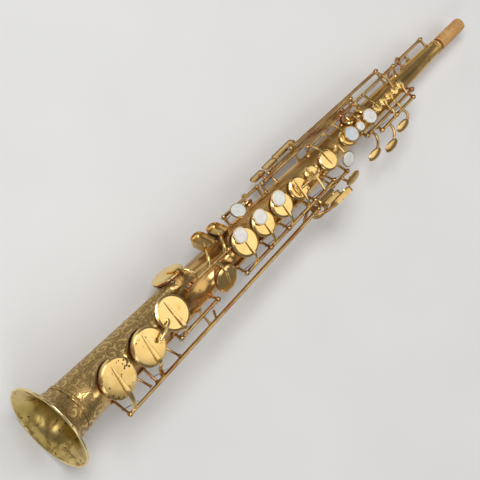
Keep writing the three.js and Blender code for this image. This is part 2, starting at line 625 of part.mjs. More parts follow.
key("bis", "left_stack", -6, [
  ["bis_key", join([
    cup("bis"),
    hingeTube("left_stack", 451, 463),
    cupArm("bis", "left_stack", 2.4, 1),
    bentBar([[457.5, 0, cupTop("bis") + 0.4], [455, 0.8, cupTop("bis") + 1], [452, 1.2, cupTop("bis") + 1.6]],
      1.1, 3),
    pearlHolder([451.8, 1.2, cupTop("bis") + 1.8], 0, SMALL_PEARL_RADIUS),
  ]).subtract(LEFT_BORE), BRIGHT_BRASS],
  ["bis_pearl", pearl([451.8, 1.2, cupTop("bis") + 1.8], 0, SMALL_PEARL_RADIUS), PEARL],
]);

key("b", "left_stack", -6, [
  ["b_key", join([
    cup("b"),
    hingeTube("left_stack", 463.6, 536.2),
    cupArm("b", "left_stack", 2.4, 1),
    strap([[-19.6, 12], [-17.5, 17.4], [-9, 19.9], [-2, 20]], 468.6, 2.8),
    pearlHolder([467.4, 0.6, 20.2], 0),
  ]).subtract(LEFT_BORE), BRIGHT_BRASS],
  ["b_pearl", pearl([467.4, 0.6, 20.2], 0), PEARL],
]);

// ---- right-hand side keys ----------------------------------------------------------------------------------

// A side key: the plate faces out and a little forwards, outside its tube, so that pressing it lifts the cup.
function sideKey(name, hinge, tube, armPoints, linkPoints, platePlace, plateLength) {
  key(name, hinge, 0, [
    [name + "_key", join([
      cup(name),
      hingeTube(hinge, ...tube),
      bentBar(armPoints, 1.3, 6),
      bentBar(linkPoints, 1.5, 4),
      fingerPlate(plateLength, 8.5, facing(platePlace, -62), 2.2),
    ]), BRIGHT_BRASS],
  ]);
}

sideKey("side_b_flat", "side_b_flat", [333.7, 455.3],
  [[452.5, -22.1, 5.5], [452.5, -18.4, 7.4], [452.5, -14.8, 11.4], [452.5, -11.2, 12.6]],
  [[338, -25.3, 5], [338, -29.5, 3.6], [338, -32.6, -1]], [337.2, -32.4, -2.5], 17);
sideKey("side_c", "side_c", [351.7, 477.8],
  [[473, -23.5, -2], [473, -19.4, 3.4], [473, -14.8, 8.8], [473, -11, 12.2]],
  [[358, -26.8, -3], [358, -30, -3.4], [358, -33, -3.2]], [357.4, -32.8, -3.6], 17);
sideKey("high_e", "high_e", [387.7, 521.8],
  [[518.2, -26.2, 1], [518.2, -25.6, 9], [518.2, -19, 15.4], [518.2, -8, 16.8], [518.2, 0, 14.6]],
  [[391, -29.8, 1.5], [391, -32.6, -1], [391, -33.6, -5]], [382.5, -33.2, -6.5], 30);

// ---- palm keys ---------------------------------------------------------------------------------------------

// A palm key: cup arm over to the hinge, a stem from the hinge, and an oval touch at its end.
function palmKey(name, hinge, tube, over, stem, touch, length, angle) {
  key(name, hinge, 0, [
    [name + "_key", join([
      cup(name),
      hingeTube(hinge, ...tube),
      cupArm(name, hinge, 2.2, 1, over),
      bentBar(stem, 1.3, 8),
      fingerPlate(length, 9, facing(touch, angle), 3),
    ]), BRIGHT_BRASS],
  ]);
}

palmKey("palm_d", "palm_outer", [479.8, 500.6], [[18.5, 15.6], [12.4, 18.2]],
  [[489, 20.3, 11.1], [487, 27, 13.5], [481, 34.4, 13], [474, 38, 11.6]], [472.6, 37.6, 11.4], 20, 44);
palmKey("palm_e_flat", "palm_outer", [506.2, 530.7], [[18.2, 15.6], [12.2, 18]],
  [[513, 19.7, 11.1], [513, 27, 12.6], [508, 31.4, 12.4], [500, 32, 11]], [499, 31.4, 11.6], 20, 42);
palmKey("palm_f", "palm_inner", [459.8, 533.7], [],
  [[464, 13.4, 14.2], [462, 20.5, 17.6], [457, 28.4, 15.6], [451, 31.6, 13]], [449, 31.6, 12.8], 20, 42);

// ---- octave keys -------------------------------------------------------------------------------------------

// A small pad on an octave key, over its pip.
function pipPad(which) {
  const [station, angle, , height] = OCTAVE_PIPS[which];
  return disc(PIP_PAD_RADIUS, 0, 2.4, 10, onHorn(station, angle, coneRadius(station) + height + SEAT_GAP));
}

key("octave_lever", "octave_lever", 0, [
  ["octave_lever", join([
    hingeTube("octave_lever", 430.8, 545.2),
    bentBar([[434, -9.4, -16.9], [434, -5, -19.6], [432, 0, -20.4]], 1.5, 3),
    fingerPlate(20, 13, facing([430, 2.4, -20.4], 176), 2),
    bentBar([[542, -7.6, -13.6], [547, -13, -15], [560, -14.2, -10.4]], 1.2, 6),
    bentBar([[462, -9.1, -16.3], [462, -3, -19.6], [462, 5, -20.6], [462, 9.4, -20]], 1.2, 5),
  ]), BRIGHT_BRASS],
]);

key("lower_octave", "lower_octave", 0, [
  ["lower_octave_key", join([
    hingeTube("lower_octave", 458.8, 481.2),
    pipPad("lower"),
    bentBar([[470, 12.2, -11.6], [470, 9.5, -17.2], [470, 4.2, -16.6]], 1.2, 5),
    bentBar([[461, 12.3, -11.8], [461, 14.6, -15.4], [461, 12.4, -19]], 1.1, 4),
  ]), BRIGHT_BRASS],
]);

key("upper_octave", "upper_octave", 0, [
  ["upper_octave_key", join([
    hingeTube("upper_octave", 558.3, 593.2),
    pipPad("upper"),
    bentBar([[573, -17.4, -1], [573, -16.6, -7.6], [573, -9.6, -9.6]], 1.2, 5),
    bentBar([[561, -17.6, -1], [561, -19.8, -5.2], [561, -18.2, -10.6]], 1.1, 4),
  ]), BRIGHT_BRASS],
]);

// ---- laid on its back --------------------------------------------------------------------------------------

// The rim's lowest point and the thumb hook's flat touch the ground together.
const supportDrop = BELL_RADIUS - (HOOK_FLAT + HOOK_THICKNESS / 2);
const lean = Math.atan(supportDrop / (HOOK_STATION + HOOK_WIDTH / 2));
const laid = new THREE.Group();
laid.applyMatrix4(new THREE.Matrix4().makeBasis(
  new THREE.Vector3(0, -1, 0),
  new THREE.Vector3(-Math.sin(lean), 0, -Math.cos(lean)),
  new THREE.Vector3(Math.cos(lean), 0, -Math.sin(lean)),
));
laid.add(horn);

// The origin is the middle of the underside of the box round everything.
laid.updateMatrixWorld(true);
const box = new THREE.Box3().setFromObject(laid, true);
laid.position.set(-(box.min.x + box.max.x) / 2, -(box.min.y + box.max.y) / 2, -box.min.z);

export default laid;
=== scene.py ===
# %% [markdown]
# # A straight soprano saxophone
# The frame holds every hard part at its real size: tube, bell, ribs with their posts, and each key on its
# own hinge. This lesson gives each of those parts its finished shape and finish. First the frame is loaded.
# The finished model has to stay inside it.

# %% Load the frame
import json
import math

import bpy
from mathutils import Matrix, Vector


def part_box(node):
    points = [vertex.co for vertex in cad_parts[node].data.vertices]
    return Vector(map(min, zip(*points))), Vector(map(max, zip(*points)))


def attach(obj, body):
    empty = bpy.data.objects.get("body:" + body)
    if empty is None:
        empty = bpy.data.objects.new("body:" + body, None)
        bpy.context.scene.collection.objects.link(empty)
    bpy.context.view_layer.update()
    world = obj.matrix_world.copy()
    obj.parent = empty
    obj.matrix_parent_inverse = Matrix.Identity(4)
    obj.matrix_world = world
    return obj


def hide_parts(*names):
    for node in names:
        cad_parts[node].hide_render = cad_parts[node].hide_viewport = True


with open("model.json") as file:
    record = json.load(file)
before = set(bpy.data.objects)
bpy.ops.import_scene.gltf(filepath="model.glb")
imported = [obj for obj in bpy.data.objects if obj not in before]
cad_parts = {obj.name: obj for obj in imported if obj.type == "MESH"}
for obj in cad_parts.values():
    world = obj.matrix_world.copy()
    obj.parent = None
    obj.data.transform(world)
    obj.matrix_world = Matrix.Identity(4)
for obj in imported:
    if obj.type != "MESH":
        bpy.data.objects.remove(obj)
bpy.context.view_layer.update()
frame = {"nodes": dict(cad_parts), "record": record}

MM = 0.001

# %% [markdown]
# The horn lies on its back, bell towards -X, a little nose down. It is far easier to model it standing up,
# with the rim on the ground and the bore along Z, and to lay each piece down when it is done. The line from
# the middle of the rim to the middle of the cork gives the lean, so nothing has to be measured by eye.

# %% The upright workbench and the matrix that lays a piece down
def middle(node):
    low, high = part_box(node)
    return (Vector(low) + Vector(high)) / 2


along = (middle("mouthpiece_cork") - middle("bell_rim_bead")).normalized()
front = Vector((-along.z, 0, along.x))
start = middle("bell_rim_bead") - along * 1.2 * MM
LAY = Matrix((
    (0, -front.x, along.x, start.x),
    (-1, -front.y, along.y, start.y),
    (0, -front.z, along.z, start.z),
    (0, 0, 0, 1),
))
print("the bore leans by", round(math.degrees(math.asin(-along.z)), 2), "degrees")

# %% [markdown]
# Places are written as the maker would measure them: the height up the horn from the rim, x across it and h
# out of the bore's middle towards the front. The cone loses the same radius at every millimetre.

# %% Places on the horn
RIM_END, TAPER = 25.8, 0.0312


def cone(s):
    return RIM_END - TAPER * s


def spot(s, x, h):
    return Vector((x, -h, s)) * MM


def on_horn(s, angle, radius):
    a = math.radians(angle)
    m = Matrix((
        (math.cos(a), 0, math.sin(a), 0),
        (math.sin(a), 0, -math.cos(a), 0),
        (0, 1, 0, 0),
        (0, 0, 0, 1),
    ))
    m.translation = Vector((radius * math.sin(a), -radius * math.cos(a), s)) * MM
    return m


def facing(place, angle):
    m = on_horn(place[0], angle, 0)
    m.translation = spot(*place)
    return m


def around(angle, radius):
    a = math.radians(angle)
    return radius * math.sin(a), radius * math.cos(a)


print("cone radius at the bell's rim and at the cork:", cone(0), round(cone(611), 2), "mm")


# For each tone hole: height, angle, cup radius, chimney height and cup height.
HOLES = {
    "low_b_flat": (69, 10, 20.3, 3.4, 4.4), "low_b": (112.5, 9, 19.3, 3.4, 4.4),
    "c_sharp": (155, 0, 17.9, 3.4, 4.4), "low_c": (187, -81, 16.6, 1.8, 4.4),
    "e_flat": (225.5, 36, 13.8, 3.2, 4.2), "d": (262.5, 0, 15.2, 3, 4.2),
    "e": (292, 0, 13.6, 3, 4.2), "f": (321.5, 0, 13.2, 3, 4.2),
    "f_sharp": (349, 0, 11.8, 3, 3.8), "f_trill": (310, -108, 6.3, 2.6, 3.2),
    "g_sharp": (374, 0, 8.6, 2.6, 3.4), "g": (397, 7, 11, 2.8, 3.8), "a": (433, 0, 9.5, 2.8, 3.6),
    "side_b_flat": (452.5, -42, 5.3, 2.2, 3), "bis": (457.5, 0, 5.2, 2.2, 3),
    "side_c": (473, -42, 5.3, 2.2, 3), "b": (486, 0, 5.6, 2.4, 3.2), "palm_d": (498, 0, 4.8, 2.4, 3),
    "palm_e_flat": (508.3, 0, 4.8, 2.4, 3), "high_e": (518.2, 0, 4.7, 2.4, 3),
    "palm_f": (528, 0, 4.8, 2.4, 3),
}
# For each octave pip: height, angle, radius and length.
PIPS = {"lower": (470, 165, 2.6, 3.2), "upper": (573, -135, 2.4, 3.2)}
# The two ends of each hinge line.
HINGES = {
    "low_b_flat": ((61, 40.4, 18.2), (355, 30.3, 16.6)), "low_b": ((104.5, 39.2, 12.6), (355, 31.1, 11.2)),
    "c_sharp_lever": ((187, 37.4, 7.2), (355, 31.9, 5.6)), "c_sharp": ((149, 24.3, 19.8), (204, 22.5, 19.5)),
    "foot": ((188.5, -6.9, 25.5), (244.6, -5, 24.3)), "right_stack": ((246, 24.5, 19.8), (389.5, 20.9, 17.9)),
    "trill": ((273.6, -27.9, 6), (323, -26.5, 6.2)), "side_b_flat": ((331, -25.5, 5), (458, -22, 5.5)),
    "side_c": ((349, -27, -3), (480.5, -23.3, -2)), "high_e": ((385, -30, 1.5), (524.5, -26, 1)),
    "g_sharp_lever": ((389.5, 26, 9), (414, 25.4, 8.6)), "left_stack": ((393, -20.8, 14), (539, -18.6, 10.5)),
    "palm_outer": ((477, 20.7, 11.2), (533.5, 19.1, 11)),
    "palm_inner": ((457, 13.5, 14.2), (536.5, 12, 13.6)),
    "upper_octave": ((555.5, -17.6, -1), (596, -17.2, -0.9)),
    "octave_lever": ((428, -9.5, -17), (548, -7.5, -13.4)),
    "lower_octave": ((456, 12.4, -11.8), (484, 12, -11.5)),
}
SEAT_GAP = 0.25  # between a chimney and the cup that is shut on it


def hinge_at(hinge, s):
    low, high = (spot(*p) for p in HINGES[hinge])
    return low.lerp(high, (s * MM - low.z) / (high.z - low.z))


def seat(name):
    return cone(HOLES[name][0]) + HOLES[name][3]


def cup_top(name):
    return seat(name) + SEAT_GAP + HOLES[name][4]


# %% [markdown]
# Keys that stand open are modelled shut, where cup and tone hole share one middle, and are then turned
# about their own hinge to the place the frame gives them at rest. The frame's joints say where each hinge
# line is.

# %% How each key is turned to its place at rest
OPEN_KEYS = ("low_b_flat", "low_b", "low_c", "d", "e", "f", "f_sharp", "g", "a", "bis", "b")
joints = {j["child"]: j for j in frame["record"]["behaviour"]["joints"]}


def at_rest(body):
    if body not in OPEN_KEYS:
        return LAY
    j = joints[body]
    closing = max(j["range_deg"], key=abs)
    here = Matrix.Translation(Vector(j["pos_m"]))
    turn = Matrix.Rotation(math.radians(-closing), 4, Vector(j["axis"]))
    return here @ turn @ here.inverted() @ LAY


worst = max((Vector(joints[b]["pos_m"]) - LAY @ spot(*HINGES[b][0])).length for b in joints if b in HINGES)
print("hinge lines agree with the frame within", round(worst / MM, 3), "mm")

# %% [markdown]
# The camera stands above the bell end and looks down the horn, so the bell's mouth is a narrow ellipse and
# the keys crowd together towards the cork. A long lens keeps the cone from looking steeper than it is.

# %% Camera
LOOK_AT, DISTANCE, LENS = 274.2, 1.721, 133.5
side = Vector((0, -1, 0))
turn, tilt, roll = math.radians(8.5), math.radians(28.8), math.radians(44.6)
out_c = math.cos(turn) * front - math.sin(turn) * side
side_c = math.cos(turn) * side + math.sin(turn) * front
to_camera = math.cos(tilt) * out_c - math.sin(tilt) * along
up_picture = math.cos(tilt) * along + math.sin(tilt) * out_c
right = math.cos(roll) * up_picture + math.sin(roll) * side_c
up = math.sin(roll) * up_picture - math.cos(roll) * side_c

camera_data = bpy.data.cameras.new("camera")
camera_data.lens = LENS
camera_data.sensor_width = 36
camera_data.clip_end = 20
camera = bpy.data.objects.new("camera", camera_data)
bpy.context.scene.collection.objects.link(camera)
pose = Matrix((right, up, to_camera)).transposed().to_4x4()
pose.translation = LAY @ spot(LOOK_AT, 0, 0) + to_camera * DISTANCE
camera.matrix_world = pose
bpy.context.scene.camera = camera
print("camera at", [round(c, 3) for c in pose.translation])

# %% [markdown]
# ## Shader arithmetic
# A finish is easier to read as a sum than as a nest of nodes. A Wire is an output socket that knows how to
# add, subtract and multiply, each of which adds one Math node, and a Finish is a material under
# construction.

# %% Wires and finishes
class Wire:
    def __init__(self, finish, socket):
        self.finish, self.socket = finish, socket

    def _math(self, operation, a, b=None):
        values = {0: a} if b is None else {0: a, 1: b}
        return self.finish.node("ShaderNodeMath", {"operation": operation}, values)

    def __add__(self, other):
        return self._math("ADD", self, other)

    def __sub__(self, other):
        return self._math("SUBTRACT", self, other)

    def __rsub__(self, other):
        return self._math("SUBTRACT", other, self)

    def __mul__(self, other):
        return self._math("MULTIPLY", self, other)

    __radd__, __rmul__ = __add__, __mul__

    def absolute(self):
        return self._math("ABSOLUTE", self)

    def sine(self):
        return self._math("SINE", self)

    def highest(self, other):
        return self._math("MAXIMUM", self, other)

    def ramp(self, low, high):
        """Rises smoothly from 0 at low to 1 at high."""
        settings = {"interpolation_type": "SMOOTHSTEP"}
        return self.finish.node("ShaderNodeMapRange", settings, {0: self, 1: low, 2: high})


class Finish:
    def __init__(self, name, **shader):
        self.material = bpy.data.materials.new(name)
        self.material.use_nodes = True
        self.tree = self.material.node_tree
        self.shader = self.tree.nodes["Principled BSDF"]
        for socket, value in shader.items():
            self.shader.inputs[socket.replace("_", " ")].default_value = value
        self.place = self.node("ShaderNodeTexCoord", output="Object")

    def node(self, kind, settings=None, inputs=None, output=0):
        made = self.tree.nodes.new(kind)
        for key, value in (settings or {}).items():
            setattr(made, key, value)
        for key, value in (inputs or {}).items():
            if isinstance(value, Wire):
                self.tree.links.new(value.socket, made.inputs[key])
            elif made.inputs[key].type == "RGBA":
                made.inputs[key].default_value = (*value, 1)
            else:
                made.inputs[key].default_value = value
        return Wire(self, made.outputs[output])

    def noise(self, scale, detail=3.0, rough=0.55, place=None, distortion=0.0):
        values = {"Vector": place or self.place, "Scale": scale, "Detail": detail, "Roughness": rough,
                  "Distortion": distortion}
        return self.node("ShaderNodeTexNoise", None, values, "Fac")

    def mix(self, factor, a, b):
        return self.node("ShaderNodeMix", {"data_type": "RGBA"}, {0: factor, 6: a, 7: b}, 2)

    def spots(self, scale, size):
        """Round specks of uneven size: 1 inside a speck, 0 outside."""
        cells = self.node("ShaderNodeTexVoronoi", None, {"Vector": self.place, "Scale": scale}, "Distance")
        uneven = self.noise(scale * 0.37, 1.0)
        return (cells + uneven * 0.9).ramp(size + 0.08, size)

    def feed(self, **wires):
        for socket, wire in wires.items():
            self.tree.links.new(wire.socket, self.shader.inputs[socket.replace("_", " ")])
        return self.material

    def bump(self, height, strength, distance):
        values = {"Height": height, "Strength": strength, "Distance": distance}
        return self.node("ShaderNodeBump", None, values, "Normal")


# %% [markdown]
# ## Finishes
# Old lacquered brass is never one colour. The tube is painted a little lighter towards the cork, a painted
# sheen for the light the upper tube catches, and has a faint green cast and brown freckles where the lacquer
# has gone. Scroll engraving covers the bell end.

# %% Tube brass
def horn_coordinates(f):
    """How far up the horn, and the two distances out of the bore's middle, from the Object coordinates."""
    lean = math.asin(-along.z)
    turned_place = f.node("ShaderNodeMapping", {"vector_type": "TEXTURE"},
                          {"Vector": f.place, "Location": tuple(start), "Rotation": (0, lean, 0)}, "Vector")
    parts = f.node("ShaderNodeSeparateXYZ", None, {0: turned_place}, "X")
    node = parts.socket.node
    return Wire(f, node.outputs["X"]), Wire(f, node.outputs["Y"]), Wire(f, node.outputs["Z"])


def tube_brass():
    f = Finish("aged_tube_brass", Metallic=1.0, IOR=1.5)
    up_horn, across, outward = horn_coordinates(f)
    cloud = f.noise(28, 4)
    grain = f.noise(160, 3)
    # Towards the cork the colour turns a little lighter: a painted sheen for the light the upper tube catches.
    high = (up_horn + (cloud - 0.5) * 0.12).ramp(0.24, 0.6)
    golden = f.mix(cloud.ramp(0.35, 0.65), (0.7, 0.44, 0.16), (0.48, 0.28, 0.09))
    painted_sheen_gold = f.mix(cloud.ramp(0.35, 0.65), (0.74, 0.48, 0.17), (0.52, 0.32, 0.1))
    color = f.mix(high, golden, painted_sheen_gold)
    freckles = f.spots(210, 0.5)
    color = f.mix(freckles * 0.75, color, (0.13, 0.06, 0.02))
    stain = f.noise(55, 5, 0.65).ramp(0.56, 0.72)
    color = f.mix(stain * 0.4, color, (0.24, 0.14, 0.05))
    # The engraving is drawn on a flat map of the tube: how far up it, and the angle round it.
    angle = f.node("ShaderNodeMath", {"operation": "ARCTAN2"}, {0: across, 1: outward})
    flat = f.node("ShaderNodeCombineXYZ", None, {0: up_horn * 85, 1: angle * 2.1, 2: 0.0}, "Vector")
    warp = f.noise(1.6, 2, place=flat)
    # Each scroll winds round the middle of its own cell.
    cells = {"voronoi_dimensions": "2D"}
    reach = f.node("ShaderNodeTexVoronoi", cells, {"Vector": flat, "Scale": 1.0}, "Distance")
    center = Wire(f, reach.socket.node.outputs["Position"])
    away = f.node("ShaderNodeVectorMath", {"operation": "SUBTRACT"}, {0: flat, 1: center}, "Vector")
    away = f.node("ShaderNodeSeparateXYZ", None, {0: away}, "X").socket.node.outputs
    winding = f.node("ShaderNodeMath", {"operation": "ARCTAN2"},
                     {0: Wire(f, away["Y"]), 1: Wire(f, away["X"])})
    scroll = (reach * 12 + winding + f.noise(3.2, 2, place=flat) * 5).sine()
    leaf = scroll * 0.5 + 0.5
    line = scroll.absolute().ramp(0.42, 0.12)
    where = (up_horn + (warp - 0.5) * 0.05).ramp(0.195, 0.17)
    left = (angle - 1.15 + (warp - 0.5)).absolute().ramp(1.15, 0.95)
    sides = left.highest((up_horn + (warp - 0.5) * 0.03).ramp(0.05, 0.042))
    engraved = line * where * sides
    ground = where * sides * leaf.ramp(0.35, 0.65)
    color = f.mix(where * sides * 0.5, color, (0.66, 0.52, 0.2))
    color = f.mix(ground * 0.6, color, (0.33, 0.19, 0.09))
    color = f.mix(engraved * 0.75, color, (0.1, 0.05, 0.02))
    rough = 0.22 + high * 0.1 + cloud * 0.14 + freckles * 0.35 + stain * 0.12 + ground * 0.22
    height = (1 - engraved) * 0.6 + grain * 0.12 + cloud * 0.2
    return f.feed(Base_Color=color, Roughness=rough, Normal=f.bump(height, 0.45, 0.0003))


TUBE_BRASS = tube_brass()

# %% [markdown]
# Cups and touches were buffed brighter than the tube, and their lacquer has lasted, so they are a pale
# creamy yellow with scattered brown specks. How thickly the specks lie differs from key to key.

# %% Cup brass, bell brass and rod brass
def bright_brass(name, light, deep, speck_size, roughness):
    f = Finish(name, Metallic=1.0, IOR=1.5)
    cloud = f.noise(45, 3)
    specks = f.spots(260, speck_size)
    tarnish = f.noise(90, 5, 0.65).ramp(0.58, 0.75)
    color = f.mix(cloud.ramp(0.3, 0.7), light, deep)
    color = f.mix(tarnish * 0.4, color, (0.42, 0.22, 0.06))
    color = f.mix(specks * 0.85, color, (0.16, 0.07, 0.02))
    height = 1 - specks * 0.4 + f.noise(220, 2) * 0.1
    return f.feed(Base_Color=color, Roughness=roughness + cloud * 0.1 + specks * 0.4,
                  Normal=f.bump(height, 0.3, 0.00012))


CUP_BRASS = bright_brass("cup_brass", (0.93, 0.68, 0.29), (0.84, 0.57, 0.2), 0.46, 0.17)
SPOTTED_BRASS = bright_brass("spotted_cup_brass", (0.93, 0.68, 0.29), (0.83, 0.56, 0.2), 0.63, 0.18)
TOUCH_BRASS = bright_brass("touch_brass", (0.82, 0.58, 0.24), (0.6, 0.38, 0.13), 0.48, 0.22)
RIM_BRASS = bright_brass("rim_brass", (0.94, 0.76, 0.4), (0.8, 0.6, 0.26), 0.44, 0.15)


def rod_brass():
    f = Finish("rod_brass", Metallic=1.0, IOR=1.5)
    patch = f.noise(38, 2).ramp(0.5, 0.62)
    cloud = f.noise(70, 3)
    color = f.mix(cloud.ramp(0.3, 0.7), (0.74, 0.5, 0.2), (0.5, 0.31, 0.11))
    color = f.mix(patch * 0.7, color, (0.46, 0.17, 0.07))
    scratches = f.bump(f.noise(300, 2), 0.15, 0.0001)
    return f.feed(Base_Color=color, Roughness=0.2 + cloud * 0.16, Normal=scratches)


ROD_BRASS = rod_brass()


def bell_brass():
    f = Finish("bell_brass", Metallic=1.0, IOR=1.5)
    cloud = f.noise(34, 5, 0.6)
    dark = f.noise(42, 5, 0.7, distortion=0.8).ramp(0.47, 0.6)
    specks = f.spots(190, 0.54)
    color = f.mix(cloud.ramp(0.35, 0.65), (0.8, 0.6, 0.23), (0.54, 0.4, 0.12))
    color = f.mix(dark * 0.8, color, (0.26, 0.15, 0.045))
    color = f.mix(specks * 0.8, color, (0.07, 0.045, 0.02))
    return f.feed(Base_Color=color, Roughness=0.27 + cloud * 0.14 + dark * 0.14 + specks * 0.3,
                  Normal=f.bump(cloud + dark * 0.4, 0.3, 0.0002))


BELL_BRASS = bell_brass()

# %% [markdown]
# The rest of the finishes are not brass: mother of pearl, cork, kid leather, black resin and spring steel.

# %% Pearl, cork, leather, resin and steel
def pearl_finish(name, light, shade):
    f = Finish(name, Roughness=0.16, Coat_Weight=0.6, Coat_Roughness=0.05, IOR=1.55)
    swirl = f.noise(95, 4, 0.6, distortion=1.8)
    tint = f.mix(f.noise(60, 2).ramp(0.35, 0.65), (0.93, 0.84, 0.82), (0.8, 0.9, 0.86))
    color = f.mix(swirl.ramp(0.35, 0.65), light, shade)
    return f.feed(Base_Color=f.mix(0.3, color, tint), Normal=f.bump(swirl, 0.12, 0.0001))


PEARL = pearl_finish("mother_of_pearl", (0.92, 0.9, 0.84), (0.74, 0.72, 0.66))
GREY_PEARL = pearl_finish("grey_mother_of_pearl", (0.66, 0.72, 0.78), (0.5, 0.55, 0.62))


def cork_finish():
    f = Finish("sheet_cork", IOR=1.4)
    grain = f.noise(520, 5, 0.7)
    pits = f.spots(620, 0.55)
    cloud = f.noise(90, 3)
    color = f.mix(grain.ramp(0.3, 0.7), (0.74, 0.41, 0.15), (0.5, 0.24, 0.075))
    color = f.mix(cloud.ramp(0.4, 0.7) * 0.5, color, (0.8, 0.5, 0.22))
    color = f.mix(pits * 0.8, color, (0.22, 0.09, 0.04))
    return f.feed(Base_Color=color, Roughness=0.75 + grain * 0.2, Normal=f.bump(grain - pits, 0.7, 0.0006))


CORK = cork_finish()


def leather_finish():
    f = Finish("pad_leather", IOR=1.45)
    grain = f.noise(700, 4, 0.6)
    color = f.mix(f.noise(120, 3).ramp(0.35, 0.65), (0.34, 0.1, 0.04), (0.2, 0.055, 0.025))
    return f.feed(Base_Color=color, Roughness=0.55 + grain * 0.25, Normal=f.bump(grain, 0.5, 0.0002))


LEATHER = leather_finish()


def resin_finish():
    f = Finish("black_resin", IOR=1.5, Coat_Weight=0.2)
    scuff = f.noise(240, 4)
    color = f.mix(scuff.ramp(0.4, 0.7), (0.012, 0.011, 0.01), (0.035, 0.03, 0.028))
    return f.feed(Base_Color=color, Roughness=0.25 + scuff * 0.25, Normal=f.bump(scuff, 0.1, 0.0001))


RESIN = resin_finish()


def steel_finish(name, light, dark):
    f = Finish(name, Metallic=1.0)
    wear = f.noise(180, 3)
    return f.feed(Base_Color=f.mix(wear.ramp(0.3, 0.7), light, dark), Roughness=0.22 + wear * 0.2,
                  Normal=f.bump(wear, 0.1, 0.0001))


STEEL = steel_finish("rod_steel", (0.62, 0.58, 0.52), (0.44, 0.4, 0.36))
BLUE_STEEL = steel_finish("spring_steel", (0.12, 0.13, 0.17), (0.2, 0.2, 0.24))


def paper_finish():
    f = Finish("pale_floor", Roughness=0.7)
    return f.feed(Base_Color=f.mix(f.noise(6, 2).ramp(0.3, 0.7), (0.87, 0.87, 0.87), (0.9, 0.9, 0.895)))


FLOOR = paper_finish()
print("finishes:", len(bpy.data.materials))

# %% [markdown]
# ## Floor and light
# One wide pale floor and four soft lights: a big one overhead, a warmer one over the keys, one beside the bell,
# and a strip on the left for the long highlights on tube and rods. The world is a plain grey that fills the
# shadows.

# %% Floor, lights and world
def deselect():
    bpy.ops.object.select_all(action="DESELECT")


deselect()
bpy.ops.mesh.primitive_grid_add(x_subdivisions=4, y_subdivisions=4, size=12, location=(0, 0, 0))
floor = bpy.context.object
floor.name = "floor"
floor.data.materials.append(FLOOR)


def softbox(name, place, aim, size, power, color=(1, 1, 1)):
    data = bpy.data.lights.new(name, "AREA")
    data.shape, data.size, data.size_y = "RECTANGLE", size[0], size[1]
    data.energy, data.color = power, color
    print(name, "light:", power, "W")
    light = bpy.data.objects.new(name, data)
    bpy.context.scene.collection.objects.link(light)
    light.location = place
    light.rotation_euler = (Vector(aim) - Vector(place)).to_track_quat("-Z", "Y").to_euler()


softbox("overhead", (-0.35, 0.8, 1.8), (0, 0, 0), (1.3, 0.7), 19)
softbox("over_the_keys", (0.7, -0.5, 1.35), (0.0, 0, 0.04), (1.35, 1.6), 7.4, (1, 0.97, 0.92))
softbox("bell_side", (-1.6, -1.0, 1.3), (-0.1, 0, 0), (1.0, 1.0), 7)
softbox("left_strip", (0.1, 1.5, 0.7), (0, 0, 0.03), (1.6, 0.3), 1.8)

world = bpy.data.worlds.new("studio")
bpy.context.scene.world = world
world.use_nodes = True
world.node_tree.nodes["Background"].inputs["Color"].default_value = (1, 1, 1, 1)
world.node_tree.nodes["Background"].inputs["Strength"].default_value = 0.15
bpy.context.scene.view_settings.view_transform = "Standard"

# %% [markdown]
# ## Tools
# Nearly everything on a horn is turned, drawn or sawn from plate. A turned piece starts as a circle and
# grows ring by ring: each extrude is moved up and scaled to its next radius, just as it would be by hand.

# %% Turned pieces
def begin_edit():
    bpy.ops.object.mode_set(mode="EDIT")
    bpy.ops.mesh.select_all(action="SELECT")


def end_edit(ob, name, angle=35):
    bpy.ops.mesh.select_all(action="SELECT")
    bpy.ops.mesh.normals_make_consistent(inside=False)
    bpy.ops.object.mode_set(mode="OBJECT")
    bpy.ops.object.shade_smooth_by_angle(angle=math.radians(angle))
    ob.name = name
    return ob


def turned(name, rings, sides, hollow=False, angle=35):
    """rings is a list of (radius, height). A hollow piece's last ring is sewn to its first."""
    deselect()
    radius, height = rings[0]
    bpy.ops.mesh.primitive_circle_add(vertices=sides, radius=radius * MM, location=(0, 0, 0),
                                      fill_type="NOTHING" if hollow else "NGON")
    ob = bpy.context.object
    begin_edit()
    bpy.ops.transform.translate(value=(0, 0, height * MM))
    for r, z in rings[1:]:
        bpy.ops.mesh.extrude_region_move(TRANSFORM_OT_translate={"value": (0, 0, (z - height) * MM)})
        if abs(r - radius) > 1e-6:
            bpy.ops.transform.resize(value=(r / radius, r / radius, 1), center_override=(0, 0, z * MM))
        radius, height = r, z
    if hollow:
        r, z = rings[0]
        bpy.ops.mesh.extrude_region_move(TRANSFORM_OT_translate={"value": (0, 0, (z - height) * MM)})
        bpy.ops.transform.resize(value=(r / radius, r / radius, 1), center_override=(0, 0, z * MM))
        bpy.ops.mesh.select_all(action="SELECT")
        bpy.ops.mesh.remove_doubles(threshold=1e-7)
    return end_edit(ob, name, angle)


def between(a, b):
    turn = (b - a).to_track_quat("Z", "Y").to_matrix().to_4x4()
    turn.translation = a
    return turn


def put(ob, matrix):
    ob.data.transform(matrix)
    ob.data.update()
    return ob


def with_finish(ob, material):
    ob.data.materials.clear()
    ob.data.materials.append(material)
    return ob


def fitted(name, rings, sides, matrix, material, angle=35):
    """A turned piece in its finish and at its place."""
    return with_finish(put(turned(name, rings, sides, angle=angle), matrix), material)


# %% [markdown]
# Arms and levers are bars bent to a line. A Bezier curve passes through every point given, its section is a
# small oval, and a point's radius thins the bar towards its tip. Turned into a mesh, it is a closed bar.

